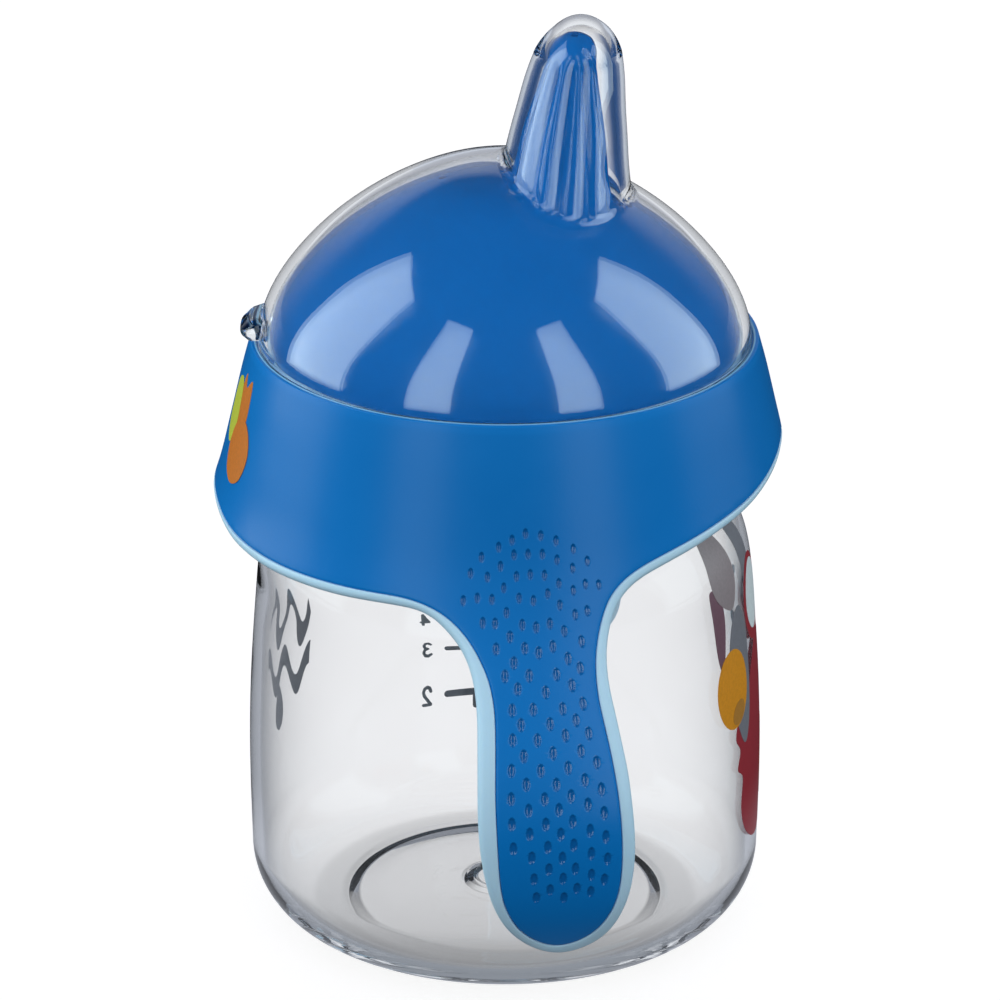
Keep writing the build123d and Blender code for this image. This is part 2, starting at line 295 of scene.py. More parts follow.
def thread(root_r, crest_r, z_start, turns, material, steps=120):
    """Closed trapezoid ridge on a right-handed helix with run-out ends."""
    verts, faces = [], []
    sunk = root_r - (1 if crest_r > root_r else -1) * THREAD_BITE
    root, crest = THREAD_ROOT_W / 2, THREAD_CREST_W / 2
    n = int(steps * turns)
    for i in range(n + 1):
        t = i / n
        angle = t * turns * 2 * PI
        z = z_start + THREAD_LEAD * turns * t
        fade = 0.12 + 0.88 * min(1.0, t * turns * 7, (1 - t) * turns * 7)
        top = root_r + (crest_r - root_r) * fade
        for r, dz in ((sunk, -root), (root_r, -root), (top, -crest * fade),
                      (top, crest * fade), (root_r, root), (sunk, root)):
            verts.append((r * math.cos(angle), r * math.sin(angle), z + dz))
    for i in range(n):
        for k in range(6):
            a, b = i * 6 + k, i * 6 + (k + 1) % 6
            faces.append((a, b, b + 6, a + 6))
    faces.append(tuple(range(6)))
    faces.append(tuple(range(n * 6, n * 6 + 6))[::-1])
    return solid("thread", np.array(verts), faces, material)


# =====================================================================  shader graphs
class Graph:
    """A node tree being filled. Sockets given as inputs are linked, plain values are set."""

    def __init__(self, owner):
        owner.use_nodes = True
        self.tree = owner.node_tree
        self.tree.nodes.clear()

    def feed(self, socket, value):
        if isinstance(value, bpy.types.NodeSocket):
            self.tree.links.new(value, socket)
        else:
            socket.default_value = value

    def add(self, kind, inputs=None, **settings):
        node = self.tree.nodes.new("ShaderNode" + kind)
        for key, value in settings.items():
            setattr(node, key, value)
        for key, value in (inputs or {}).items():
            self.feed(node.inputs[key], value)
        return node

    def math(self, operation, *values):
        return self.add("Math", dict(enumerate(values)), operation=operation).outputs[0]

    def above(self, value, limit):
        return self.math("GREATER_THAN", value, limit)

    def times(self, a, b):
        return self.math("MULTIPLY", a, b)

    def mix(self, factor, off, on):
        """Colour `off` where the factor is 0 and `on` where it is 1."""
        off, on = [(*c, 1) if isinstance(c, tuple) else c for c in (off, on)]
        return self.add("Mix", {0: factor, 6: off, 7: on}, data_type="RGBA").outputs[2]

    def mix_value(self, factor, off, on):
        return self.add("Mix", {0: factor, 2: off, 3: on}, data_type="FLOAT").outputs[0]

    def remap(self, value, gives, span=(0.0, 1.0), curve="LINEAR"):
        inputs = {"Value": value, "From Min": span[0], "From Max": span[1],
                  "To Min": gives[0], "To Max": gives[1]}
        return self.add("MapRange", inputs, interpolation_type=curve).outputs["Result"]

    def ease(self, value, span, gives):
        return self.remap(value, gives, span, "SMOOTHSTEP")

    def ramp(self, factor, stops):
        """Colour ramp through (position, rgb) stops."""
        node = self.add("ValToRGB", {"Fac": factor})
        elements = node.color_ramp.elements
        while len(elements) < len(stops):
            elements.new(0.5)
        for element, (position, colour) in zip(elements, stops):
            element.position = position
            element.color = (*colour, 1)
        return node.outputs["Color"]

    def noise(self, coords, scale, detail, roughness):
        return self.add("TexNoise", {"Vector": coords, "Scale": scale, "Detail": detail,
                                     "Roughness": roughness}).outputs["Fac"]

    def bump(self, height, depth):
        """Bump of a depth in millimetres."""
        return self.add("Bump", {"Strength": 1.0, "Distance": depth * MM,
                                 "Height": height}).outputs["Normal"]

    def object_coords(self):
        return self.add("TexCoord").outputs["Object"]

    def xyz(self, vector):
        return self.add("SeparateXYZ", {0: vector}).outputs

    def camera_xyz(self, vector):
        turn = self.add("VectorTransform", {0: vector}, vector_type="VECTOR",
                        convert_from="WORLD", convert_to="CAMERA")
        return self.xyz(turn.outputs[0])

    def away(self, seen):
        """Level part, pointing away from the camera, of a vector split in camera space."""
        cos_tilt, sin_tilt = 0.9272, 0.3746     # the camera looks down by 22 degrees
        return self.math("ADD", self.times(seen[2], cos_tilt), self.times(seen[1], sin_tilt))

    def output(self, shader, kind="OutputMaterial"):
        self.add(kind, {"Surface": shader})


def new_material(name):
    material = bpy.data.materials.new(name)
    return material, Graph(material)


def tinted(colour, factor):
    return tuple(c * factor for c in colour)


# =====================================================================  materials
def plastic(name, base, dark, rough, grain_scale, grain, specular=0.5, scatter=None, grip=False):
    """Moulded plastic: the colour drifts between two tones, over fine grain and a few smudges.

    rough is the roughness range, grain the grain's depth in millimetres, scatter a
    (weight, radius) of subsurface light. grip gives leathery grain and polished pits with painted
    shade.
    """
    material, g = new_material(name)
    coords = g.object_coords()
    drift = g.noise(coords, scale=35, detail=4.0, roughness=0.55)
    colour = g.ramp(drift, [(0.35, dark), (0.68, base)])
    fine = g.noise(coords, scale=grain_scale, detail=6.0, roughness=0.6)
    smudges = g.remap(g.noise(coords, scale=140, detail=3.0, roughness=0.6), gives=rough)
    height = fine
    if grip:
        cells = g.add("TexVoronoi", {"Vector": coords, "Scale": grain_scale * 0.9},
                      feature="SMOOTH_F1").outputs["Distance"]
        height = g.mix_value(0.5, off=cells, on=fine)
    shader = g.add("BsdfPrincipled", {
        "Base Color": colour, "Roughness": smudges, "Normal": g.bump(height, grain),
        "IOR": 1.49, "Specular IOR Level": specular})
    if grip:
        # the pits are glossier than the matt land between them, and their colour is painted darker as
        # shade in the recess
        pit = g.add("Attribute", attribute_name="pit").outputs["Fac"]
        pit_shade_colour = (dark[0] * 0.7, dark[1] * 0.7, dark[2] * 0.74)
        g.feed(shader.inputs["Roughness"], g.mix_value(pit, off=smudges, on=0.14))
        g.feed(shader.inputs["Specular IOR Level"], g.mix_value(pit, off=specular, on=0.9))
        g.feed(shader.inputs["Base Color"], g.mix(pit, off=colour, on=pit_shade_colour))
    if scatter:
        weight, radius = scatter
        g.feed(shader.inputs["Subsurface Weight"], weight)
        g.feed(shader.inputs["Subsurface Scale"], 0.0012)
        g.feed(shader.inputs["Subsurface Radius"], radius)
    g.output(shader.outputs["BSDF"])
    return material


def clear_plastic(name, tint, ior, wave):
    """Clear plastic, `wave` millimetres wavy, with faint haze. Shadow rays pass it tinted."""
    material, g = new_material(name)
    coords = g.object_coords()
    waves = g.noise(coords, scale=60, detail=2.0, roughness=0.45)
    haze = g.noise(coords, scale=138, detail=5.0, roughness=0.65)
    shader = g.add("BsdfPrincipled", {
        "Base Color": g.ramp(haze, [(0.0, tinted(tint, 0.985)), (1.0, tint)]),
        "Roughness": g.remap(haze, gives=(0.0, 0.035), span=(0.45, 0.8)),
        "Normal": g.bump(waves, wave), "IOR": ior, "Transmission Weight": 1.0})
    shadow = g.add("BsdfTransparent", {"Color": (0.9, 0.92, 0.95, 1)})
    is_shadow = g.add("LightPath").outputs["Is Shadow Ray"]
    both = g.add("MixShader", {"Fac": is_shadow, 1: shader.outputs["BSDF"],
                               2: shadow.outputs["BSDF"]})
    g.output(both.outputs["Shader"])
    return material


def ink(name, colour):
    """Printed ink with a fine mottle."""
    material, g = new_material(name)
    mottle = g.noise(g.object_coords(), scale=2200, detail=4.0, roughness=0.7)
    light = tuple(min(1, c * 1.08) for c in colour)
    shader = g.add("BsdfPrincipled", {
        "Base Color": g.ramp(mottle, [(0.3, tinted(colour, 0.88)), (0.7, light)]),
        "Normal": g.bump(mottle, 0.004), "Roughness": 0.45})
    g.output(shader.outputs["BSDF"])
    return material


BOTTLE_MAT = clear_plastic("bottle_clear", tint=(0.985, 0.987, 0.992), ior=1.5, wave=0.010)
CAP_MAT = clear_plastic("cap_clear", tint=(0.985, 0.987, 0.995), ior=1.46, wave=0.006)
GRIP_MAT = plastic("grip_soft_blue", base=(0.0012, 0.200, 0.590), dark=(0.001, 0.186, 0.555),
                   rough=(0.26, 0.33), grain_scale=2600, grain=0.010, specular=0.26, grip=True)
RING_MAT = plastic("ring_light_blue", base=(0.58, 0.82, 0.97), dark=(0.56, 0.80, 0.95),
                   rough=(0.3, 0.4), grain_scale=1500, grain=0.006, specular=0.45,
                   scatter=(0.15, (0.6, 0.8, 1.0)))
# the lip's blue, darker than the ring's, is a painted highlight along the cap rim's edge
LIP_MAT = plastic("ring_blue_lip_rim_highlight", base=(0.21, 0.47, 0.70), dark=(0.19, 0.45, 0.67),
                  rough=(0.22, 0.3), grain_scale=1500, grain=0.006)
DOME_MAT = plastic("dome_gloss_blue", base=(0.0012, 0.112, 0.365), dark=(0.001, 0.104, 0.345),
                   rough=(0.12, 0.17), grain_scale=700, grain=0.002)
VALVE_MAT = plastic("valve_plastic", base=(0.80, 0.86, 0.92), dark=(0.77, 0.84, 0.90),
                    rough=(0.35, 0.45), grain_scale=1800, grain=0.006)
SILICONE_MAT = plastic("silicone", base=(0.86, 0.88, 0.90), dark=(0.82, 0.85, 0.88),
                       rough=(0.42, 0.55), grain_scale=1400, grain=0.008,
                       scatter=(0.5, (1.0, 1.0, 1.0)))


# =====================================================================  bottle
NECK_R, NECK_BORE_R, NECK_TOP = 30.6, 28.4, 83.0
# (r, z) lines, or (r, z, corner radius)
BOTTLE_UNDER = [(0, 2.5), (1.3, 2.5, 0.3), (1.9, 3.0, 0.4), (4.5, 2.95, 0.5), (5.6, 2.15, 0.6),
                (6.6, 2.0, 0.4), (10, 1.9), (17, 1.45), (21.4, 0.8, 1.5), (22.9, 0.0, 0.5),
                (25.0, 0.0)]
BOTTLE_OUT = [(37.3, 11.0), (37.45, 18.0), (37.5, 27.0), (37.25, 36.0), (36.7, 45.0),
              (36.15, 52.0), (35.4, 58.0), (34.2, 61.6), (32.2, 64.6), (30.9, 67.0),
              (NECK_R, 69.0)]
BOTTLE_IN = [(NECK_BORE_R, 68.6), (28.8, 66.6), (30.4, 63.6), (32.6, 60.8), (33.95, 57.6),
             (34.65, 52.0), (35.2, 45.0), (35.75, 36.0), (36.0, 27.0), (35.95, 18.0), (35.8, 11.5)]
BOTTLE_FLOOR = [(25.4, 2.1), (24.3, 2.15), (23.1, 2.42), (21.8, 2.66), (19.0, 2.95), (12.0, 3.5),
                (7.2, 3.78)]
BOTTLE_BUMP = [BOTTLE_FLOOR[-1], (6.4, 3.82, 0.3), (5.6, 4.15, 0.4), (4.6, 4.2, 0.3),
               (3.9, 3.95, 0.3), (1.6, 4.0, 0.3), (1.1, 4.35, 0.3), (0, 4.4)]


def build_bottle():
    neck = [BOTTLE_OUT[-1], (NECK_R, NECK_TOP, 0.55), (NECK_BORE_R, NECK_TOP, 0.55), BOTTLE_IN[0]]
    profile = np.concatenate([
        rounded(BOTTLE_UNDER),
        arc3((26.4, 0.0), (34.1, 3.2), BOTTLE_OUT[0]),
        cubic(BOTTLE_OUT, 84)[1:],
        rounded(neck)[1:],
        cubic(BOTTLE_IN, 84)[1:],
        arc3(BOTTLE_IN[-1], (33.1, 4.75), BOTTLE_FLOOR[0])[1:],
        cubic(BOTTLE_FLOOR, 34)[1:],
        rounded(BOTTLE_BUMP, 5)[1:]])
    bottle = lathe("bottle_clear", clean(profile, 2e-3), BOTTLE_MAT, 288)
    ridge = thread(NECK_R, NECK_R + THREAD_DEPTH, z_start=71.8, turns=1.75, material=BOTTLE_MAT)
    finish_piece(union(bottle, ridge), "bottle", "bottle", sharp=38)


def build_seal():
    """Silicone ring on the neck's rim."""
    inner_r, middle_r, outer_r, top = 28.45, 29.5, 30.55, 84.2
    section = [(middle_r, NECK_TOP), (outer_r, NECK_TOP, 0.35), (outer_r, top, 0.35),
               (inner_r, top, 0.35), (inner_r, NECK_TOP, 0.35), (middle_r, NECK_TOP)]
    seal = lathe("neck_seal_ring", rounded(section, 5), SILICONE_MAT, 192, loop=True)
    finish_piece(seal, "seal", "neck_seal")


build_bottle()
build_seal()


# =====================================================================  cap and dome
RIM_Z = 89.0                # underside of the cap's rim and of the dome's flange
CAP_R, DOME_R = 35.5, 33.7
CAP_WALL, DOME_WALL = 1.3, 1.9
# outlines as (z, r), from rim to crown
CAP = [(89.05, CAP_R), (91.2, 35.3), (92.6, 34.95), (95.6, 33.75), (98.6, 31.95), (101.6, 29.6),
       (104.6, 26.75), (107.6, 23.25), (110.6, 18.9), (113.6, 13.2), (115.6, 7.3), (116.4, 0.0)]
DOME = [(89.0, DOME_R), (90.8, 33.55), (92.6, 33.1), (95.6, 31.85), (98.6, 29.85), (101.6, 27.2),
        (104.6, 23.9), (107.6, 19.8), (110.6, 14.6), (112.9, 8.6), (113.9, 0.0)]
# oval stations as (z, centre x, half size in x, half size in y), and (x, z) of the tips
SPOUT = [(106.0, 7.0, 9.2, 12.6), (110.0, 7.4, 8.3, 12.1), (113.0, 7.7, 7.5, 11.4),
         (116.0, 8.05, 6.9, 10.5), (120.0, 8.35, 6.25, 9.2), (124.0, 8.7, 5.4, 8.1),
         (128.0, 9.1, 4.4, 7.0), (131.0, 9.45, 3.75, 6.1)]
SPOUT_TIP = (9.85, 135.1)
HOUSING = [(108.0, 7.9, 10.5, 14.6), (112.0, 8.25, 9.75, 13.9), (115.6, 8.6, 9.05, 13.0),
           (120.0, 9.0, 8.4, 12.0), (124.0, 9.4, 7.75, 11.1), (128.8, 9.95, 7.0, 9.9),
           (131.6, 10.3, 6.35, 8.8)]
HOUSING_TIP = (10.75, 137.35)
# (r, z, corner radius) of the lift tab, and its half width
TAB = [(34.9, 89.9), (37.1, 89.9, 0.35), (38.0, 90.7, 0.5), (37.9, 91.3, 0.5), (36.6, 92.6, 0.9),
       (34.9, 93.2)]
TAB_HALF = 4.6
# (r, z, corner radius) of the flange and the plug under the dome
PLUG = [(DOME_R, 89.5), (DOME_R, RIM_Z, 0.25), (30.1, RIM_Z, 0.2), (30.1, 84.2, 0.4),
        (28.5, 84.2, 0.4), (28.5, 90.6, 0.6), (31.4, 90.9, 0.5)]
RIBS, RIB_DEPTH = 10, 0.98
TUBE_X, TUBE_WALL, TUBE_LOW = 8.6, 1.3, 99.6    # tubes under the dome at +X and -X
BORE_R, VENT_R = 4.3, 3.3
CUT_LOW = 98.6              # where the bores start, below the tubes
HOLE_R = 0.55


class Section:
    """Ellipse sections of a spout that ends in a rounded, egg-shaped tip."""

    def __init__(self, table, tip, shrink, power):
        stations = np.array(table, float) - (0, 0, shrink, shrink)
        self.rows = cubic(stations, 400)
        self.tip_x, self.tip_z = tip[0], tip[1] - shrink
        self.last_z = stations[-1, 0]
        self.power = power

    def slope(self, column, back):
        """Change of a column with z over the last rows."""
        end, start = self.rows[-1], self.rows[-back]
        return (end[column] - start[column]) / (end[0] - start[0])

    def at(self, z):
        """Centre x and the two half sizes at heights z."""
        rows, low_z = self.rows, np.minimum(z, self.last_z)
        centre, half_x, half_y = [np.interp(low_z, rows[:, 0], rows[:, k]) for k in (1, 2, 3)]
        beyond = np.clip(z - self.last_z, 0, None)
        over = np.clip((z - self.last_z) / (self.tip_z - self.last_z), 0, 1)
        close = (1 - over ** self.power) ** 0.5
        centre = centre + np.minimum(beyond * self.slope(1, 40), self.tip_x - rows[-1, 1])
        return (centre, (half_x + beyond * self.slope(2, 30) * 0.5) * close,
                (half_y + beyond * self.slope(3, 30) * 0.5) * close)


def cut_start(points, length):
    """Polyline with a length taken off its start."""
    run = run_lengths(points)
    i = int(np.searchsorted(run, length))
    w = (length - run[i - 1]) / (run[i] - run[i - 1])
    return np.concatenate([[points[i - 1] * (1 - w) + points[i] * w], points[i:]])


def column(phi, dome_rz, section, flute=None, fillet=1.0, n_side=80, n_fillet=10, n_dome=70):
    """Line from the spout's tip, down its side and over the dome to the rim, at ellipse angle phi."""
    c, s = math.cos(phi), math.sin(phi)
    dome_r, dome_z = dome_rz[:, 0], dome_rz[:, 1]       # r rising, z falling

    def wall(z):
        centre, half_x, half_y = section.at(z)
        sunk = flute(phi, z) if flute else 0.0
        return centre + np.maximum(half_x - sunk, 0) * c, np.maximum(half_y - sunk, 0) * s

    # where the spout's side meets the dome
    z = np.linspace(104.0, 118.0, 700)
    gap = z - np.interp(np.hypot(*wall(z)), dome_r, dome_z)
    base_z = z[int(np.argmax(gap > 0))]
    # tip to base, finer near the tip
    z = section.tip_z + (base_z - section.tip_z) * np.linspace(0, 1, 400) ** 1.6
    side = np.stack([*wall(z), z], 1)
    corner = side[-1]
    t = 1 - (1 - np.linspace(0, 1, 400)) ** 2.5
    x = corner[0] + (dome_r[-1] * c - corner[0]) * t
    y = corner[1] + (dome_r[-1] * s - corner[1]) * t
    over = np.stack([x, y, np.interp(np.hypot(x, y), dome_r, dome_z)], 1)
    side = cut_start(side[::-1], fillet)[::-1]
    over = cut_start(over, fillet)
    t = np.linspace(0, 1, n_fillet + 2)[1:-1][:, None]
    blend = (1 - t) ** 2 * side[-1] + 2 * t * (1 - t) * corner + t ** 2 * over[0]
    return np.concatenate([resample(side, n_side), blend, resample(over, n_dome)])


def grid_solid(name, columns, material):
    """Closed solid from columns of equal length whose first and last points are poles."""
    n, k = len(columns), len(columns[0]) - 2
    verts = [np.mean([c[0] for c in columns], 0), np.mean([c[-1] for c in columns], 0)]
    for c in columns:
        verts += list(c[1:-1])
    faces = []
    for i in range(n):
        a, b = 2 + i * k, 2 + ((i + 1) % n) * k
        faces.append((0, a, b))
        for j in range(k - 1):
            faces.append((a + j, a + j + 1, b + j + 1, b + j))
        faces.append((a + k - 1, 1, b + k - 1))
    return solid(name, np.array(verts), faces, material)


def crown(table):
    """Smooth (r, z) outline, r rising from 0, from a (z, r) table."""
    line = cubic([(r, z) for z, r in table], 260)[::-1]
    line = line[np.argsort(line[:, 0], kind="stable")]
    line[0, 0] = 0
    return line


def shrunk(line, wall):
    """Crown outline moved inwards along its normal."""
    tangent = np.gradient(line, axis=0)
    tangent /= np.linalg.norm(tangent, axis=1)[:, None]
    moved = line + np.stack([tangent[:, 1], -tangent[:, 0]], 1) * wall
    moved[0] = (0, line[0, 1] - wall)
    moved = moved[moved[:, 0] >= 0]
    return moved[np.argsort(moved[:, 0], kind="stable")]


def turned_to(line, phi):
    """An (r, z) line as points in space at azimuth phi."""
    c, s = math.cos(phi), math.sin(phi)
    return np.array([(r * c, r * s, z) for r, z in line])


def flutes(phi, z):
    """How far the rib valleys sink below the ribs' crests."""
    ridge = abs(math.cos(RIBS / 2 * phi)) ** 1.15
    depth = RIB_DEPTH * smoothstep(132.8, 129.6, z) * (0.86 + 0.14 * smoothstep(112, 124, z))
    return depth * (1 - ridge)


def lift_tab(steps=26):
    """Wedge that grows out of the cap's rim at -X."""
    section = rounded(TAB, 5)
    verts, faces = [], []
    for i in range(steps + 1):
        y = -TAB_HALF + 2 * TAB_HALF * i / steps
        edge = max(1 - (abs(y) / TAB_HALF) ** 5, 0.0) ** 0.5
        angle = PI + y / CAP_R
        for r, z in section:
            r = 34.6 + (r - 34.6) * (0.15 + 0.85 * edge)
            z = 91.3 + (z - 91.3) * (0.55 + 0.45 * edge)
            verts.append((r * math.cos(angle), -r * math.sin(angle), z))
    k = len(section)
    for i in range(steps):
        for j in range(k):
            a, b = i * k + j, i * k + (j + 1) % k
            faces.append((a, b, b + k, a + k))
    faces.append(tuple(range(k)))
    faces.append(tuple(range(steps * k, steps * k + k))[::-1])
    return solid("tab", np.array(verts), faces, CAP_MAT)


def build_cap(n=288):
    outer_rz = crown(CAP)
    inner_rz = shrunk(outer_rz, CAP_WALL)
    outer_section = Section(HOUSING, HOUSING_TIP, shrink=0.0, power=1.5)
    inner_section = Section(HOUSING, HOUSING_TIP, shrink=CAP_WALL, power=1.7)
    inner_r = inner_rz[-1, 0]
    rim = rounded([(CAP_R, 89.4), (CAP_R, RIM_Z, 0.35), (inner_r, RIM_Z, 0.3), (inner_r, 89.6)], 4)
    columns = []
    for i in range(n):
        phi = 2 * PI * i / n
        outer = column(phi, outer_rz, outer_section, fillet=1.1)
        inner = column(phi, inner_rz, inner_section, fillet=1.6)
        columns.append(np.concatenate([outer[:-1], turned_to(rim, phi), inner[:-1][::-1]]))
    cap = union(grid_solid("hygiene_cap_clear", columns, CAP_MAT), lift_tab())
    finish_piece(cap, "cap", "hygiene_cap", sharp=50)


def tube(name, x, bore_r, top):
    outer_r = bore_r + TUBE_WALL
    section = [(bore_r, TUBE_LOW), (outer_r, TUBE_LOW), (outer_r, top), (bore_r, top),
               (bore_r, TUBE_LOW)]
    piece = lathe(name, section, DOME_MAT, 96, loop=True)
    piece.data.transform(Matrix.Translation((x * MM, 0, 0)))
    return piece


def rod(name, x, y, r, low, top, n):
    return lathe(name, [(0, low), (r, low), (r, top), (0, top)], DOME_MAT, n, at=(x, y, 0))


def oval_loft(name, stations, n=96):
    verts, faces = [], []
    for z, centre, half_x, half_y in stations:
        verts += [(centre + half_x * math.cos(2 * PI * j / n), half_y * math.sin(2 * PI * j / n), z)
                  for j in range(n)]
    for i in range(len(stations) - 1):
        for j in range(n):
            k = (j + 1) % n
            faces.append((i * n + j, i * n + k, (i + 1) * n + k, (i + 1) * n + j))
    faces.append(tuple(range(n))[::-1])
    faces.append(tuple(range((len(stations) - 1) * n, len(stations) * n)))
    return solid(name, np.array(verts), faces, DOME_MAT)


def build_dome(n=320):
    """Dome, spout, flange and plug in one skin, with two tubes and the ways through."""
    outer_rz = crown(DOME)
    inner_rz = shrunk(outer_rz, DOME_WALL)
    inside = resample(inner_rz[inner_rz[:, 1] > 91.5][::-1], 40)
    below = np.concatenate([rounded(PLUG, 4)[1:], inside])
    section = Section(SPOUT, SPOUT_TIP, shrink=0.0, power=2.7)
    columns = []
    for i in range(n):
        phi = 2 * PI * i / n
        outer = column(phi, outer_rz, section, flutes, fillet=0.8, n_side=110, n_fillet=12)
        columns.append(np.concatenate([outer[:-1], turned_to(below, phi)]))
    dome = grid_solid("spout_dome_blue", columns, DOME_MAT)
    bore_tube = tube("tubes", TUBE_X, BORE_R, 111.4)
    vent_tube = tube("vent_tube", -TUBE_X, VENT_R, 111.2)
    dome = union(union(dome, bore_tube), vent_tube)

    channel = [(z, x, half_x - 1.7, half_y - 1.9) for z, x, half_x, half_y in SPOUT[2:]]
    cut = oval_loft("channel", cubic(channel + [(132.6, 9.7, 1.5, 3.4)], 40))
    cut = union(cut, rod("bore", TUBE_X, 0, BORE_R, low=CUT_LOW, top=115.0, n=96))
    for y in (-1.5, 0.0, 1.5):
        cut = union(cut, rod("hole", SPOUT_TIP[0], y, HOLE_R, low=129.0, top=137.5, n=32))
    dome = union(dome, cut, "DIFFERENCE")
    pinhole_r, top = 0.6, 118.0
    vent = [(0, CUT_LOW), (VENT_R, CUT_LOW), (VENT_R, 109.0), (pinhole_r, 109.6),
            (pinhole_r, top), (0, top)]
    vent_bore = lathe("vent_bore", vent, DOME_MAT, 72, at=(-TUBE_X, 0, 0))
    dome = union(dome, vent_bore, "DIFFERENCE")
    finish_piece(dome, "dome", "spout_dome", sharp=42)


build_cap()
build_dome()


# =====================================================================  collar shell
# (z, r) of the surface of revolution that collar and handles lie on
SHELL = [(13.2, 49.9), (15.2, 51.3), (18, 53.0), (21.5, 54.8), (26, 56.3), (31, 57.0), (36, 56.95),
         (41, 56.0), (46, 54.1), (51, 51.3), (56, 48.05), (60, 45.55), (63, 43.95), (66, 42.7),
         (70, 41.35), (75, 40.1), (80, 38.93), (85, 37.75), (89.6, 36.5)]
# (x, z) of the frame's lower edge: below the tab, round a handle, below the spout
FRAME_EDGE = [
    (-46.0, 68.4), (-43.4, 67.3), (-41.6, 66.3), (-40.0, 65.45), (-37.5, 64.85), (-34.6, 64.55),
    (-28.8, 64.36), (-23.0, 64.36), (-18.0, 64.47), (-14.6, 64.43), (-12.0, 64.1),
    (-10.0, 63.3), (-8.1, 61.9), (-6.4, 60.15), (-5.3, 58.4), (-4.6, 56.6), (-4.16, 54.6),
    (-3.9, 52.0), (-3.83, 48.5), (-3.82, 44.3), (-3.8, 40.3), (-3.7, 37.3), (-3.5, 34.6),
    (-3.13, 31.56), (-2.6, 28.7), (-1.75, 25.4), (-0.5, 22.2), (1.32, 19.3), (3.9, 16.9),
    (7.5, 15.5), (11.2, 16.3), (13.8, 18.1), (15.4, 20.1), (16.65, 22.7), (17.5, 25.3),
    (18.05, 28.0), (18.36, 31.0), (18.42, 34.0), (18.25, 37.2), (17.85, 41.0), (17.3, 44.6),
    (16.5, 48.1), (15.7, 51.3), (14.95, 54.2), (14.5, 56.8), (14.42, 59.0), (14.7, 61.1),
    (15.25, 63.0), (16.2, 64.8),
    (17.8, 66.4), (21.7, 68.1), (27.4, 69.55), (31.8, 70.7), (36.2, 72.0), (39.7, 73.94),
    (43.0, 76.8), (46.0, 79.8)]
# (x, z) of the grip's lower edge, in the same order
GRIP_EDGE = [
    (-46.0, 69.5), (-43.4, 68.4), (-41.6, 67.4), (-40.0, 66.55), (-37.5, 66.0), (-34.6, 65.75),
    (-28.8, 65.58), (-23.0, 65.58), (-18.0, 65.62), (-14.0, 65.5), (-11.2, 64.95),
    (-8.4, 63.75), (-6.1, 62.0), (-4.45, 60.1), (-3.3, 58.3), (-2.4, 56.5), (-1.8, 54.6),
    (-1.42, 52.3), (-1.28, 49.0), (-1.28, 45.0), (-1.26, 40.9), (-1.05, 36.3), (-0.86, 32.4),
    (-0.62, 29.2), (-0.2, 26.4), (0.6, 23.8), (2.0, 21.1), (4.1, 18.9), (7.4, 17.45),
    (10.8, 18.4), (13.0, 20.2), (14.7, 22.8), (15.7, 25.4), (16.23, 28.2), (16.46, 31.4),
    (16.43, 35.1), (16.12, 39.4), (15.5, 43.6), (14.7, 47.4), (13.8, 50.9), (13.15, 53.6),
    (12.8, 56.2), (12.78, 58.6), (13.1, 60.9), (13.75, 63.3), (14.8, 65.5),
    (16.8, 67.5), (19.6, 68.9), (22.6, 69.8), (27.4, 70.95), (31.8, 72.0), (36.2, 73.25),
    (39.7, 75.15), (43.0, 78.0), (46.0, 81.0)]
FLAT_R = 41.0               # radius at which the shell is rolled out flat for meshing

shell = cubic([(r, z) for z, r in SHELL], 3000)
SHELL_R, SHELL_Z = shell[:, 0], shell[:, 1]
SHELL_ARC = np.concatenate([[0], np.cumsum(np.hypot(np.diff(SHELL_R), np.diff(SHELL_Z)))])
shell_tangent = np.gradient(shell, axis=0)
shell_tangent /= np.linalg.norm(shell_tangent, axis=1)[:, None]
NORMAL_R, NORMAL_Z = shell_tangent[:, 1], -shell_tangent[:, 0]


def arc_at(z):
    return np.interp(z, SHELL_Z, SHELL_ARC)


def radius_at(arc):
    return np.interp(arc, SHELL_ARC, SHELL_R)


def height_at(arc):
    return np.interp(arc, SHELL_ARC, SHELL_Z)


def theta_at(x, radius):
    """Azimuth on the -Y half of a point at x."""
    return -np.arccos(np.clip(x / radius, -1, 1))


def place(points, layer=0.0, drop=0.0):
    """(theta, arc) on the shell, moved in by a radial layer and by a drop along the normal."""
    theta, arc = points[:, 0], points[:, 1]
    r = radius_at(arc) - layer - drop * np.interp(arc, SHELL_ARC, NORMAL_R)
    z = height_at(arc) - drop * np.interp(arc, SHELL_ARC, NORMAL_Z)
    y = r * np.sin(theta)
    y[(np.abs(theta) < 1e-9) | (np.abs(theta + PI) < 1e-9)] = 0.0
    return np.stack([r * np.cos(theta), y, z], 1)


def outline(points, step=0.45):
    """XZ outline laid on the shell's -Y half as evenly spaced (theta, arc) points."""
    curve = cubic(points, 9000)
    radius = np.interp(curve[:, 1], SHELL_Z, SHELL_R)
    on = np.where(np.abs(curve[:, 0]) < radius)[0]
    curve, radius = curve[on[0]:on[-1] + 1], radius[on[0]:on[-1] + 1]
    theta = np.concatenate([[-PI], theta_at(curve[:, 0], radius), [0.0]])
    arc = arc_at(curve[:, 1])
    arc = np.concatenate([[arc[0]], arc, [arc[-1]]])
    radius = radius_at(arc)
    steps = np.hypot(np.diff(theta) * (radius[1:] + radius[:-1]) / 2, np.diff(arc))
    run = np.concatenate([[0], np.cumsum(steps)])
    at = np.linspace(0, run[-1], int(round(run[-1] / step)) + 1)
    return np.stack([np.interp(at, run, theta), np.interp(at, run, arc)], 1)


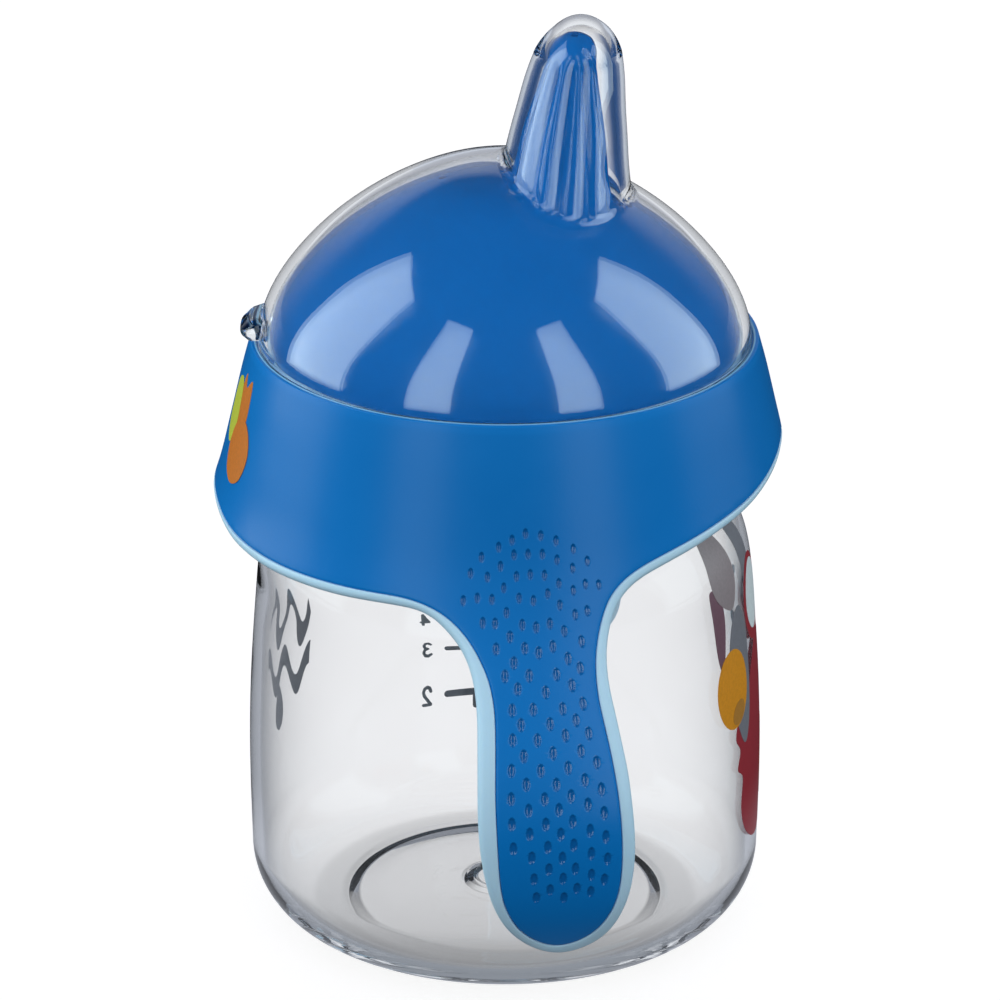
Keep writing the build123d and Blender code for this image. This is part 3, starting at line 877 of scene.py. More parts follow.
def shifted(line, distance):
    """(theta, arc) line moved towards larger arc by a distance along its normals."""
    radius = radius_at(line[:, 1])
    gradient = np.gradient(line, axis=0)
    along_x, along_y = gradient[:, 0] * radius, gradient[:, 1]
    length = np.hypot(along_x, along_y)
    moved = line + np.stack([-along_y / length / radius, along_x / length], 1) * distance
    moved[0, 0], moved[-1, 0] = -PI, 0.0
    return moved


def distance_to(line, points):
    """Distance in space of (theta, arc) points from a line on the shell."""
    line = place(line)
    total = np.linalg.norm(np.diff(line, axis=0), axis=1).sum()
    dense = resample(line, int(total / 0.04))
    tree = kdtree.KDTree(len(dense))
    for i, p in enumerate(dense):
        tree.insert(p, i)
    tree.balance()
    return np.array([tree.find(p)[2] for p in place(points)])


def edge_distance(line, points, on_line):
    distance = distance_to(line, points)
    distance[on_line] = 0
    return distance


def round_rows(radius, angles=(14, 32, 52, 71, 90)):
    """Distances from an edge of the mesh rows that follow its rounding."""
    return [radius * (1 - math.cos(math.radians(a))) for a in angles]


def round_drop(distance, radius):
    """How far a rounded edge falls below the surface at a distance from it."""
    distance = np.clip(distance, 0, radius)
    return radius - np.sqrt(np.maximum(radius ** 2 - (radius - distance) ** 2, 0))


def sheet(lower, upper, step, low_rows=(), up_rows=(), extra=None, keep=None):
    """Conforming triangles between two lines: points, triangles, and indices along both lines."""
    def side(theta, start, end):
        n = max(1, int(round(abs(end - start) / step)))
        arc = np.linspace(start, end, n + 1)[1:-1]
        return np.stack([np.full(len(arc), theta), arc], 1)

    right = side(0.0, lower[-1, 1], upper[-1, 1])
    left = side(-PI, upper[0, 1], lower[0, 1])
    loop = np.concatenate([lower, right, upper[::-1], left])
    parts = [loop]
    for line, other, rows, way in ((lower, upper, low_rows, 1), (upper, lower, up_rows, -1)):
        for depth in rows:
            row = shifted(line, way * depth)[1:-1]
            ok = (distance_to(line, row) >= depth * 0.96) & inside_poly(row, loop)
            ok &= (row[:, 0] < -1e-4) & (row[:, 0] > -PI + 1e-4)
            ok &= distance_to(other, row) >= depth * 0.96
            parts.append(row[ok])
    # staggered grid over the rest
    grid = []
    arc, arc_end = loop[:, 1].min() + step * 0.43, loop[:, 1].max()
    n = int(PI * FLAT_R / step)
    while arc < arc_end:
        stagger = 0.5 if len(grid) % 2 else 0.0
        grid.append(np.stack([-PI + (np.arange(n) + stagger) * (PI / n), np.full(n, arc)], 1))
        arc += step * 0.87
    grid = np.concatenate(grid)
    margin = 0.35 * step / FLAT_R
    grid = grid[(grid[:, 0] < -margin) & (grid[:, 0] > -PI + margin)]
    grid = grid[inside_poly(grid, loop)]
    low_reach = low_rows[-1] if len(low_rows) else 0.0
    up_reach = up_rows[-1] if len(up_rows) else 0.0
    grid = grid[(distance_to(lower, grid) >= low_reach + step * 0.5)
                & (distance_to(upper, grid) >= up_reach + step * 0.5)]
    if keep is not None:
        grid = grid[keep(grid)]
    parts.append(grid)
    if extra is not None:
        extra = extra[inside_poly(extra, loop)]
        parts.append(extra[distance_to(lower, extra) >= 0.05])
    points = np.concatenate(parts)
    count = len(loop)
    flat = [Vector((p[0] * FLAT_R, p[1])) for p in points]
    result = delaunay_2d_cdt(flat, [], [list(range(count))], 1, 1e-5)
    verts = np.array([(p[0] / FLAT_R, p[1]) for p in result[0]])
    where = {}
    for i, originals in enumerate(result[3]):
        for k in originals:
            where[k] = i
    index = np.array([where[k] for k in range(count)])
    verts[index] = points[:count]
    up_start = len(lower) + len(right)
    on_lower = index[:len(lower)]
    on_upper = index[up_start:up_start + len(upper)][::-1]
    verts[np.abs(verts[:, 0]) < 1e-7, 0] = 0.0
    verts[np.abs(verts[:, 0] + PI) < 1e-7, 0] = -PI
    return verts, [tuple(t) for t in result[2]], on_lower, on_upper


class Half:
    """The -Y half of a body built from sheets and strips, then mirrored across XZ and closed."""

    def __init__(self):
        self.verts, self.faces = [], []

    def add(self, points, faces=()):
        """Adds points and faces between them; returns the points' indices."""
        start = len(self.verts)
        self.verts += [tuple(p) for p in points]
        self.faces += [tuple(i + start for i in face) for face in faces]
        return np.arange(start, start + len(points))

    def strip(self, a, b):
        for i in range(len(a) - 1):
            self.faces.append((a[i], a[i + 1], b[i + 1], b[i]))

    def strips(self, row, profile):
        """Goes on from a row along an (r, z) profile; returns the last row."""
        for r, z in profile:
            following = self.add(ring_row(r, z))
            self.strip(row, following)
            row = following
        return row

    def finish(self, name, material):
        v = np.array(self.verts)
        n = len(v)
        v[np.abs(v[:, 1]) < 1e-6, 1] = 0.0
        mirrored = np.where(v[:, 1] == 0.0, np.arange(n), np.arange(n) + n)
        both = np.concatenate([v, v * np.array([1, -1, 1])])
        faces = self.faces + [tuple(int(mirrored[i]) for i in f[::-1]) for f in self.faces]
        piece = make(name, *only_used(both, faces), material)
        bm = bmesh.new()
        bm.from_mesh(piece.data)
        bmesh.ops.remove_doubles(bm, verts=bm.verts, dist=2e-7)
        bm.to_mesh(piece.data)
        bm.free()
        return outward(piece)


def only_used(verts, faces):
    """Drops points that no face uses."""
    used = sorted({i for face in faces for i in face})
    new = {old: i for i, old in enumerate(used)}
    return verts[used], [tuple(new[i] for i in face) for face in faces]


def ring_line(z, n=225):
    """Half circle on the shell at a height, as (theta, arc)."""
    return np.stack([np.linspace(-PI, 0, n), np.full(n, float(arc_at(z)))], 1)


def ring_row(r, z, n=225):
    theta = np.linspace(-PI, 0, n)
    y = r * np.sin(theta)
    y[0] = y[-1] = 0.0
    return np.stack([r * np.cos(theta), y, np.full(n, z)], 1)


frame_line = outline(FRAME_EDGE)
grip_line = outline(GRIP_EDGE)


# =====================================================================  light-blue frame
FRAME_ROUND, STEP_ROUND, FRAME_IN_ROUND = 0.95, 0.22, 0.9   # lower, grip-side, inner edges
RECESS = 1.8                # depth of the frame under the grip
COLLAR_BORE_R = 32.6
# (r, z, corner radius) over the collar's top and down its bore
COLLAR_INSIDE = [(34.84, RIM_Z), (34.0, RIM_Z), (30.2, RIM_Z, 0.3), (30.2, 86.4, 0.2),
                 (COLLAR_BORE_R, 86.4, 0.3), (COLLAR_BORE_R, 71.6, 0.5), (34.4, 71.6, 0.5),
                 (34.4, 84.4), (34.42, 84.5)]


def thickness(z):
    """Frame thickness: thin at the collar, thicker down the handles."""
    return np.where(z < 58, 4.6, np.where(z < 68, 3.4 + 1.2 * (68 - z) / 10.0, 3.4))


def build_frame():
    half = Half()
    # visible band below the grip
    points, faces, low, up = sheet(frame_line, grip_line, 0.8, round_rows(FRAME_ROUND),
                                   round_rows(STEP_ROUND, (30, 60, 90)))
    drop = np.maximum(round_drop(edge_distance(frame_line, points, low), FRAME_ROUND),
                      round_drop(edge_distance(grip_line, points, up), STEP_ROUND))
    index = half.add(place(points, drop=drop), faces)
    band_low, band_up = index[low], index[up]
    # recess under the grip
    points, faces, low, up = sheet(grip_line, ring_line(88.9), 1.6)
    index = half.add(place(points, RECESS), faces)
    half.strip(band_up, index[low])
    bore_end = half.strips(index[up], rounded(COLLAR_INSIDE, 4))
    # inner face
    points, faces, low, up = sheet(frame_line, ring_line(84.6), 1.3, round_rows(FRAME_IN_ROUND))
    depth = thickness(height_at(points[:, 1]))
    depth = depth - round_drop(edge_distance(frame_line, points, low), FRAME_IN_ROUND)
    index = half.add(place(points, depth), [face[::-1] for face in faces])
    half.strip(bore_end, index[up])
    # lower wall
    full = thickness(height_at(frame_line[:, 1]))
    previous = band_low
    for k in (0.25, 0.5, 0.75):
        depth = FRAME_ROUND + (full - FRAME_IN_ROUND - FRAME_ROUND) * k
        row = half.add(place(frame_line, depth))
        half.strip(row, previous)
        previous = row
    half.strip(index[low], previous)
    frame = half.finish("handle_ring_frame", RING_MAT)
    ridge = thread(COLLAR_BORE_R, COLLAR_BORE_R - THREAD_DEPTH, z_start=74.3, turns=1.4,
                   material=RING_MAT)
    finish_piece(union(frame, ridge), "collar", "handle_ring", sharp=50)


build_frame()


# =====================================================================  blue grip
GRIP_ROUND = 0.40
GRIP_GAP = 0.03             # between the grip's edge and the frame's step
GRIP_DEPTH = 1.77
# (r, z, corner radius) over the grip's top
GRIP_TOP = [(36.55, 89.3), (36.5, 89.6, 0.22), (35.75, 89.6, 0.16), (35.75, RIM_Z, 0.05),
            (34.88, RIM_Z)]
# (x, z) of the dimples
DIMPLES = np.array([
    (2.88, 75.02), (5.01, 74.68), (1.03, 74.18), (7.13, 73.86), (-0.83, 73.22), (9.53, 72.54),
    (1.29, 72.17), (3.24, 72.22), (5.24, 72.14), (7.28, 71.25), (11.49, 70.71), (-3.22, 71.79),
    (-0.57, 70.62), (9.44, 69.96), (-4.73, 69.58), (-2.39, 69.15), (1.65, 69.25), (3.56, 69.46),
    (5.54, 69.29), (7.53, 68.08), (11.22, 67.69), (13.09, 67.40), (-0.12, 67.74), (9.54, 67.01),
    (-5.75, 65.93), (-3.79, 66.34), (-1.77, 66.22), (2.00, 66.39), (4.00, 66.01), (5.99, 66.83),
    (7.67, 65.24), (0.27, 64.51), (9.80, 63.86), (11.49, 64.20), (-3.04, 63.17), (-1.32, 63.12),
    (2.45, 62.94), (4.39, 62.57), (6.29, 62.97), (8.29, 61.90), (10.69, 60.48), (0.76, 61.46),
    (-1.18, 59.99), (2.80, 60.04), (4.75, 59.45), (6.70, 60.13), (8.82, 58.56), (10.50, 57.31),
    (1.30, 58.31), (3.42, 56.76), (0.06, 56.73), (7.22, 56.77), (9.35, 55.37), (5.72, 54.74),
    (1.83, 55.22), (1.05, 52.73), (3.98, 52.77), (8.07, 52.69), (10.88, 53.13), (9.92, 51.23),
    (2.28, 51.00), (6.31, 50.98), (4.57, 49.13), (8.43, 49.51), (11.66, 49.56), (1.12, 49.19),
    (2.66, 47.22), (6.73, 47.47), (10.59, 47.52), (12.78, 45.93), (0.95, 45.44), (5.03, 45.36),
    (8.81, 45.56), (11.14, 43.84), (3.02, 43.66), (7.19, 43.51), (13.42, 42.45), (0.91, 41.78),
    (5.56, 41.67), (9.23, 41.88), (11.57, 40.58), (3.34, 40.20), (7.54, 40.14), (13.81, 39.22),
    (1.01, 38.33), (5.72, 38.22), (9.45, 38.43), (11.88, 36.93), (3.49, 36.88), (7.80, 36.69),
    (14.07, 35.81), (1.23, 34.79), (6.00, 34.88), (9.61, 35.00), (12.06, 33.51), (3.78, 33.35),
    (8.02, 33.14), (14.31, 32.43), (6.16, 31.47), (9.84, 31.34), (12.08, 30.15), (4.10, 29.99),
    (8.14, 29.89), (6.34, 28.14), (10.07, 28.11), (12.00, 27.40), (4.43, 26.95), (8.26, 26.72),
    (13.90, 29.20)])
# half sizes, smaller towards the collar, and depth
DIMPLE_HALF_W = 0.50 - 0.14 * smoothstep(56, 68, DIMPLES[:, 1])
DIMPLE_HALF_H = 0.98 - 0.22 * smoothstep(56, 68, DIMPLES[:, 1])
DIMPLE_DEPTH = 0.24
# rings of mesh points round a dimple: (share of its half size, points, turn in steps)
DIMPLE_RINGS = ((0.3, 8, 0), (0.58, 12, 0.5), (0.82, 16, 0), (1.0, 20, 0.5), (1.14, 20, 0),
                (1.4, 16, 0.5))

dimple_r = np.interp(DIMPLES[:, 1], SHELL_Z, SHELL_R)
dimple_theta = theta_at(DIMPLES[:, 0], dimple_r)
dimple_arc = arc_at(DIMPLES[:, 1])


def dimple_reach(points):
    """Squared distance from the nearest dimple's middle; 1 on its edge."""
    radius = radius_at(points[:, 1])
    best = np.full(len(points), 1e9)
    for theta, arc, half_w, half_h in zip(dimple_theta, dimple_arc, DIMPLE_HALF_W, DIMPLE_HALF_H):
        reach = (((points[:, 0] - theta) * radius / half_w) ** 2
                 + ((points[:, 1] - arc) / half_h) ** 2)
        best = np.minimum(best, reach)
    return best


def dimple_points():
    points = []
    for i in range(len(DIMPLES)):
        theta, arc = dimple_theta[i], dimple_arc[i]
        points.append((theta, arc))
        for share, n, turn in DIMPLE_RINGS:
            for k in range(n):
                a = 2 * PI * (k + turn) / n
                points.append((theta + share * DIMPLE_HALF_W[i] * math.cos(a) / dimple_r[i],
                               arc + share * DIMPLE_HALF_H[i] * math.sin(a)))
    return np.array(points)


def mark_pits(grip):
    """Stores where the dimples are, for the material."""
    at = np.array([v.co for v in grip.data.vertices]) / MM
    theta = -np.abs(np.arctan2(at[:, 1], at[:, 0]))
    reach = dimple_reach(np.stack([theta, arc_at(at[:, 2])], 1))
    on_skin = np.hypot(at[:, 0], at[:, 1]) > np.interp(at[:, 2], SHELL_Z, SHELL_R) - 0.8
    pit = grip.data.attributes.new("pit", "FLOAT", "POINT")
    values = np.clip((1.12 - reach) / 0.15, 0, 1) * on_skin
    pit.data.foreach_set("value", values.astype(np.float32))


def build_grip():
    edge = shifted(grip_line, GRIP_GAP)
    half = Half()
    points, faces, low, up = sheet(edge, ring_line(89.25), 0.8, round_rows(GRIP_ROUND),
                                   extra=dimple_points(), keep=lambda p: dimple_reach(p) > 3.0)
    distance = edge_distance(edge, points, low)
    # flat floor, sloping wall
    pit = DIMPLE_DEPTH * smoothstep(0.0, 0.55, 1 - dimple_reach(points))
    drop = round_drop(distance, GRIP_ROUND) + pit * (distance > GRIP_ROUND)
    index = half.add(place(points, drop=drop), faces)
    outer_low = index[low]
    top_end = half.strips(index[up], rounded(GRIP_TOP, 4)[1:])
    # hidden face
    points, faces, low, up = sheet(edge, ring_line(88.95), 1.6)
    index = half.add(place(points, GRIP_DEPTH), [face[::-1] for face in faces])
    half.strip(top_end, index[up])
    half.strip(index[low], outer_low)
    grip = half.finish("soft_grip_skin", GRIP_MAT)
    mark_pits(grip)
    finish_piece(grip, "collar", "soft_grip", sharp=60)


def build_lip():
    """The frame's lip, a fine light-blue line between the cap's rim and the grip, standing in for a
    painted highlight along the rim's edge.
    """
    section = [(35.85, 88.9), (36.0, 88.9, 0.05), (36.04, 89.62, 0.08), (35.92, 89.74, 0.08),
               (35.72, 89.6, 0.08), (35.66, 88.9, 0.05), (35.85, 88.9)]
    lip = lathe("frame_lip", rounded(section, 4), LIP_MAT, 288, loop=True)
    finish_piece(lip, "collar", sharp=60)


build_grip()
build_lip()

# the hidden valve keeps its own shape and takes its finishes here
for node, material in (("valve_carrier", VALVE_MAT), ("valve_membrane", SILICONE_MAT)):
    materials = bpy.data.objects[node].data.materials
    materials.clear()
    materials.append(material)

# =====================================================================  prints
# Outlines are (azimuth in degrees, z); azimuth 0 is +X and -90 is -Y.
BOTTLE_MM_PER_DEG, COLLAR_MM_PER_DEG = 0.655, 0.70
FILM, FILM_BASE, FILM_LEVEL = 0.026, 0.012, 0.030   # thickness, lowest height, rise per level
INKS = {name: ink("ink_" + name, colour) for name, colour in (
    ("grey", (0.10, 0.115, 0.13)), ("mauve", (0.25, 0.20, 0.205)), ("plum", (0.155, 0.07, 0.095)),
    ("stone", (0.17, 0.165, 0.185)), ("amber", (0.64, 0.24, 0.003)), ("rust", (0.40, 0.17, 0.02)),
    ("red", (0.30, 0.018, 0.028)), ("pale", (0.62, 0.66, 0.66)), ("orange", (0.72, 0.20, 0.015)),
    ("lime", (0.62, 0.66, 0.05)))}


def oval(centre, half_deg, half_z, n=56, tilt=0.0):
    """Oval with half sizes in degrees and millimetres."""
    t = np.arange(n) * 2 * PI / n
    x, y = half_deg * np.cos(t), half_z * np.sin(t)
    k = math.radians(tilt)
    return np.stack([centre[0] + x * math.cos(k) - y * math.sin(k),
                     centre[1] + x * math.sin(k) + y * math.cos(k)], 1)


def capsule(start, end, width, n=8):
    """Round-ended stroke on the bottle between two (azimuth, z) points."""
    scale = (BOTTLE_MM_PER_DEG, 1)
    start, end = np.array(start, float) * scale, np.array(end, float) * scale
    angle = math.atan2(end[1] - start[1], end[0] - start[0])
    out = []
    for centre, turn in ((end, -PI / 2), (start, PI / 2)):
        out += [centre + width / 2 * np.array([math.cos(angle + t), math.sin(angle + t)])
                for t in np.linspace(turn, turn + PI, n)]
    return np.array(out) / scale


def wave_band(middle, swing, phase, half_width=1.7):
    """Wavy band that falls as it runs from azimuth 171 to 145."""
    line = [(171 - 26 * t, middle + swing * math.sin(t * 4.2 * PI + phase) - 5.5 * t)
            for t in np.linspace(0, 1, 34)]
    return np.array([(a, z + half_width) for a, z in line]
                    + [(a, z - half_width) for a, z in line][::-1])


def scale_marks():
    """Marks for 2 to 6 with their numbers, and a tail below the lowest."""
    # stroke points of each number in a unit cell
    digits = {2: [(0.06, 0.76), (0.2, 0.94), (0.5, 1.0), (0.8, 0.93), (0.93, 0.74), (0.82, 0.54),
                  (0.06, 0.0), (0.98, 0.0)],
              3: [(0.08, 0.88), (0.35, 1.0), (0.7, 0.97), (0.9, 0.79), (0.78, 0.6), (0.42, 0.53),
                  (0.82, 0.44), (0.96, 0.23), (0.76, 0.04), (0.4, 0.0), (0.06, 0.1)],
              4: [(0.74, 0.0), (0.74, 1.0), (0.02, 0.3), (1.0, 0.3)],
              5: [(0.9, 1.0), (0.2, 1.0), (0.13, 0.57), (0.5, 0.64), (0.84, 0.52), (0.93, 0.27),
                  (0.72, 0.04), (0.35, 0.0), (0.05, 0.1)],
              6: [(0.85, 0.93), (0.55, 1.0), (0.22, 0.8), (0.06, 0.4), (0.14, 0.1), (0.5, 0.0),
                  (0.86, 0.1), (0.93, 0.34), (0.74, 0.54), (0.4, 0.55), (0.1, 0.34)]}
    lowest, pitch = 17.7, 7.0
    digit_az, digit_deg, digit_height, digit_width = 107.95, 2.15, 2.75, 0.52
    marks = []
    for k, strokes in digits.items():
        # the marks from 4 up sit a little higher than the pitch
        z = lowest + pitch * (k - 2) + (0.5 + 0.6 * (k - 3) if k > 3 else 0.0)
        marks.append(capsule((104.0, z), (97.2, z), 1.0))
        line = [(digit_az + digit_deg * x, z - 1.35 + digit_height * y) for x, y in strokes]
        marks += [capsule(a, b, digit_width) for a, b in zip(line[:-1], line[1:])]
    marks.append(capsule((97.0, lowest), (97.0, 15.6), 0.95))
    return marks


def decal(name, loops, ink_name, level, profile, body, slot, mm_per_deg, step=1.3):
    """Ink film on an (r, z) surface of revolution. Its outlines may overlap."""
    flat, faces, lattice = [], [], []
    for loop in loops:
        q = np.array(loop, float) * np.array([mm_per_deg, 1.0])
        closed = np.concatenate([q, q[:1]])
        q = resample(closed, max(12, int(run_lengths(closed)[-1] / 0.35)))[:-1]
        faces.append(list(range(len(flat), len(flat) + len(q))))
        flat += [tuple(p) for p in q]
        low, high = q.min(0), q.max(0)
        x, y = np.meshgrid(np.arange(low[0], high[0], step), np.arange(low[1], high[1], step))
        grid = np.stack([x.ravel(), y.ravel()], 1)
        lattice += [tuple(p) for p in grid[inside_poly(grid, q)]]
    result = delaunay_2d_cdt([Vector(p) for p in flat + lattice], [], faces, 1, 1e-4)
    points = np.array([(p[0] / mm_per_deg, p[1]) for p in result[0]])
    triangles = [tuple(t) for t in result[2]]
    azimuth, z = np.radians(points[:, 0]), points[:, 1]
    base = FILM_BASE + FILM_LEVEL * level
    layers = []
    for height in (base, base + FILM):
        r = np.interp(z, profile[:, 1], profile[:, 0]) + height
        layers.append(np.stack([r * np.cos(azimuth), r * np.sin(azimuth), z], 1))
    n = len(points)
    # a dict keeps the edges in order
    edges = dict.fromkeys((t[i], t[(i + 1) % len(t)]) for t in triangles for i in range(len(t)))
    faces = triangles + [tuple(i + n for i in t[::-1]) for t in triangles]
    faces += [(j, i, i + n, j + n) for i, j in edges if (j, i) not in edges]
    film = solid(name, *only_used(np.concatenate(layers), faces), INKS[ink_name])
    finish_piece(film, body, sharp=50)


ON_BOTTLE = dict(profile=cubic(BOTTLE_OUT, 400), body="bottle", slot="clear_bottle",
                 mm_per_deg=BOTTLE_MM_PER_DEG)
ON_COLLAR = dict(profile=shell, body="collar", slot="blue_grip", mm_per_deg=COLLAR_MM_PER_DEG)

# Rows are (name, ink, level, outlines).
# Sea plants, an egg-shaped pebble, a coral clump and bubbles round +X
BOTTLE_PRINTS = [
    ("weed", "stone", 0, [closed_curve([
        (-17.8, 65.5), (-12, 66), (-9.5, 58), (-11.5, 50), (-15.0, 53), (-17, 59)])]),
    ("leaf", "mauve", 1, [closed_curve([
        (-33.8, 61), (-32, 65.6), (-27.5, 66), (-23.5, 62.5), (-22, 57.5), (-24.5, 53.4),
        (-29, 54.2), (-33, 57)])]),
    ("stem", "plum", 0, [closed_curve([
        (-34.8, 57.5), (-31, 56.8), (-29.2, 53), (-29.6, 48.5), (-31, 44.5), (-33.0, 47),
        (-34.2, 52.5)])]),
    ("stone", "stone", 1, [closed_curve([
        (-28, 47), (-25.5, 51.5), (-21.5, 53), (-18, 49.5), (-17, 43), (-18, 35), (-21, 31.5),
        (-25, 35), (-28, 41)])]),
    ("coral", "red", 0, [closed_curve([
        (-24.5, 36), (-26.4, 33.2), (-24.2, 30.9), (-25.6, 28.2), (-22.8, 26.3), (-23.4, 21.5),
        (-20.5, 17.5), (-14, 14.6), (-6, 14.2), (2, 17), (6.5, 23), (4.5, 29), (7.5, 35), (3, 38),
        (0, 44), (-8, 45.5), (-15, 41.5), (-19, 38)])]),
    ("bubble_rim", "red", 1, [oval((-9.5, 51.6), 8.0, 6.6)]),
    ("bubble", "pale", 2, [oval((-9.1, 51.9), 6.6, 5.3)]),
    ("egg", "amber", 2, [oval((-26.7, 41.2), 7.6, 6.1, tilt=-6)]),
    ("egg_spot", "rust", 3, [oval((-24.6, 37.2), 3.2, 1.7, tilt=10)]),
    ("frond", "amber", 1, [closed_curve([
        (-4, 27), (0, 30.5), (3.5, 27), (3, 21), (-0.5, 17.8), (-4, 20)])])]
# (azimuth, z, radius in degrees)
for i, (az, z, r) in enumerate([(12, 41, 3.3), (17, 49, 2.5), (11.5, 55.5, 2.0), (18, 33, 1.8)]):
    BOTTLE_PRINTS.append(("drop_%d" % i, "stone", 0, [oval((az, z), r, r * BOTTLE_MM_PER_DEG)]))
# Two wavy bands and a drop towards -X, and the measuring scale at +Y
BOTTLE_PRINTS += [
    ("wave_0", "grey", 0, [wave_band(42.6, 3.4, phase=0.0)]),
    ("wave_1", "grey", 0, [wave_band(34.0, 2.6, phase=0.9)]),
    ("tear", "grey", 0, [closed_curve([
        (161, 29.5), (163.4, 26.2), (163.2, 23.4), (161, 22.2), (158.8, 23.4), (158.6, 26.2)])]),
    ("tear_in", "pale", 1, [closed_curve([
        (161, 27.6), (162.3, 25.6), (162.2, 24.0), (161, 23.3), (159.8, 24.0), (159.7, 25.6)])]),
    ("scale", "grey", 0, scale_marks())]
# A plain fish towards -X
COLLAR_PRINTS = [
    ("fish_tail", "orange", 0, [closed_curve([
        (-163.5, 78), (-161.8, 81.5), (-163.0, 86.3), (-166.3, 84.8), (-168.6, 86.4), (-170, 82),
        (-168.6, 77.8)])]),
    ("fish_fin", "lime", 1, [closed_curve([
        (-168, 80.5), (-170.2, 85.0), (-175.5, 84), (-176.5, 78.6), (-172, 75.6), (-168.8, 77)])]),
    ("fish_body", "orange", 2, [closed_curve([
        (-157.0, 76.5), (-159.0, 79.6), (-163.0, 80.8), (-167.5, 79.4), (-169.8, 76.0),
        (-168.2, 72.8), (-163.6, 71.4), (-159.0, 72.8)])])]

for prints, surface in ((BOTTLE_PRINTS, ON_BOTTLE), (COLLAR_PRINTS, ON_COLLAR)):
    for name, ink_name, level, loops in prints:
        decal("print_" + name, loops, ink_name, level, **surface)


# =====================================================================  lights
LIT_BOTTLE = bpy.data.collections.new("lit_bottle")
LIT_COLLAR = bpy.data.collections.new("lit_collar")
LIT_REST = bpy.data.collections.new("lit_rest")
for piece in list(scene.objects):
    if piece.type == "MESH":
        body = body_of(piece)
        if body and "bottle" in body and piece.name.startswith("bottle"):
            LIT_BOTTLE.objects.link(piece)
        elif body and "collar" in body:
            LIT_COLLAR.objects.link(piece)
        else:
            LIT_REST.objects.link(piece)

LIGHT_LOW, LIGHT_DISTANCE = 0.016, 0.6
LIGHT_COLOUR = (0.80, 0.96, 1.0)


def strip_light(name, azimuth, width, top, power, on_collar, on_bottle=0.25):
    """Upright softbox at an azimuth in degrees from -Y towards +X.

    Its strength is set apart for the clear bottle, the collar and the rest.
    """
    turn = math.radians(azimuth)
    for tag, share, receivers in (("rest", 1.0, LIT_REST), ("bottle", on_bottle, LIT_BOTTLE),
                                  ("collar", on_collar, LIT_COLLAR)):
        light = bpy.data.lights.new(name + "_" + tag, "AREA")
        light.shape, light.size, light.size_y = "RECTANGLE", width, top - LIGHT_LOW
        light.energy = power * share
        light.color = LIGHT_COLOUR
        lamp = bpy.data.objects.new(name + "_" + tag, light)
        lamp.location = (LIGHT_DISTANCE * math.sin(turn), -LIGHT_DISTANCE * math.cos(turn),
                         (LIGHT_LOW + top) / 2)
        lamp.rotation_euler = (math.radians(90), 0, turn)
        lamp.light_linking.receiver_collection = receivers
        scene.collection.objects.link(lamp)


strip_light("box_left", azimuth=-97, width=0.41, top=1.00, power=3.4, on_collar=0.9)
strip_light("box_right", azimuth=95.5, width=0.38, top=1.00, power=2.9, on_collar=0.5)
strip_light("strip_left", azimuth=-34.5, width=0.222, top=1.08, power=1.85, on_collar=0.75)
strip_light("strip_right", azimuth=34.0, width=0.212, top=1.08, power=1.7, on_collar=0.8)

# =====================================================================  world
# Colours that world and floor show to rays from the glossy and clear parts; on the floor they are
# painted reflections
BLACK = (0.012, 0.013, 0.015)
DARK = (0.11, 0.12, 0.135)
MIDDLE = (0.40, 0.42, 0.47)
BRIGHT = (0.86, 0.89, 0.93)
SKY_DIFFUSE = 0.40          # brightness of the sky to diffuse rays


def grey(value):
    return (value, value, value)


def onward_share(g, away):
    """1 for rays that go on away from the camera, falling off smoothly."""
    share = g.ease(away, span=(-0.84, -0.50), gives=(1.0, 0.0))
    return g.times(share, share)


def build_world():
    """White behind the cup, dark where the glossy parts mirror it, as between softboxes."""
    world = bpy.data.worlds.new("studio")
    scene.world = world
    g = Graph(world)
    path = g.add("LightPath").outputs
    glossy_depth, clear_depth = path["Glossy Depth"], path["Transmission Depth"]
    incoming = g.add("NewGeometry").outputs["Incoming"]
    rise = g.xyz(incoming)["Z"]
    away = g.away(g.camera_xyz(incoming))

    # what refracted and reflected rays see through the clear parts
    level = g.ease(rise, span=(-0.42, -0.06), gives=(1.0, 0.0))
    steep = g.ease(rise, span=(-0.60, -0.47), gives=(1.0, 0.0))
    edge = g.mix(level, off=MIDDLE, on=BRIGHT)
    edge = g.mix(steep, off=edge, on=DARK)
    repeated = g.mix(g.above(glossy_depth, 1.5), off=DARK, on=(0.17, 0.19, 0.23))
    edge = g.mix(onward_share(g, away), off=repeated, on=edge)
    many = g.above(g.times(g.above(glossy_depth, 0.5), clear_depth), 4.5)
    deep_colour = g.mix(many, off=(0.010, 0.011, 0.013), on=(0.30, 0.32, 0.37))
    edge = g.mix(g.above(clear_depth, 2.5), off=edge, on=deep_colour)
    # what opaque parts mirror
    grazing = g.ease(away, span=(-0.92, -0.78), gives=(1.0, 0.0))
    opaque = g.mix(grazing, off=BLACK, on=(0.34, 0.36, 0.40))
    mirror = g.mix(g.above(clear_depth, 0.5), off=opaque, on=edge)

    colour = g.mix(g.above(glossy_depth, 0.5), off=grey(0.93), on=mirror)
    colour = g.mix(g.above(path["Diffuse Depth"], 0.5), off=colour,
                   on=(SKY_DIFFUSE * 0.965, SKY_DIFFUSE * 0.99, SKY_DIFFUSE * 1.14))
    colour = g.mix(path["Is Camera Ray"], off=colour, on=grey(1.0))
    g.output(g.add("Background", {"Color": colour}).outputs[0], "OutputWorld")
    world.cycles.sampling_method = "NONE"


build_world()

# =====================================================================  floor
# heights at which a ray leaves the cup, in metres
CAP_FROM, DEEP_CAP_FROM, HOUSING_FROM = 0.0885, 0.0955, 0.113
HOUSING_X = 0.0100          # middle of the spout housing
SPOT_SPAN = (-0.04, 0.12)   # floor distance covered by the ramp, away from the camera
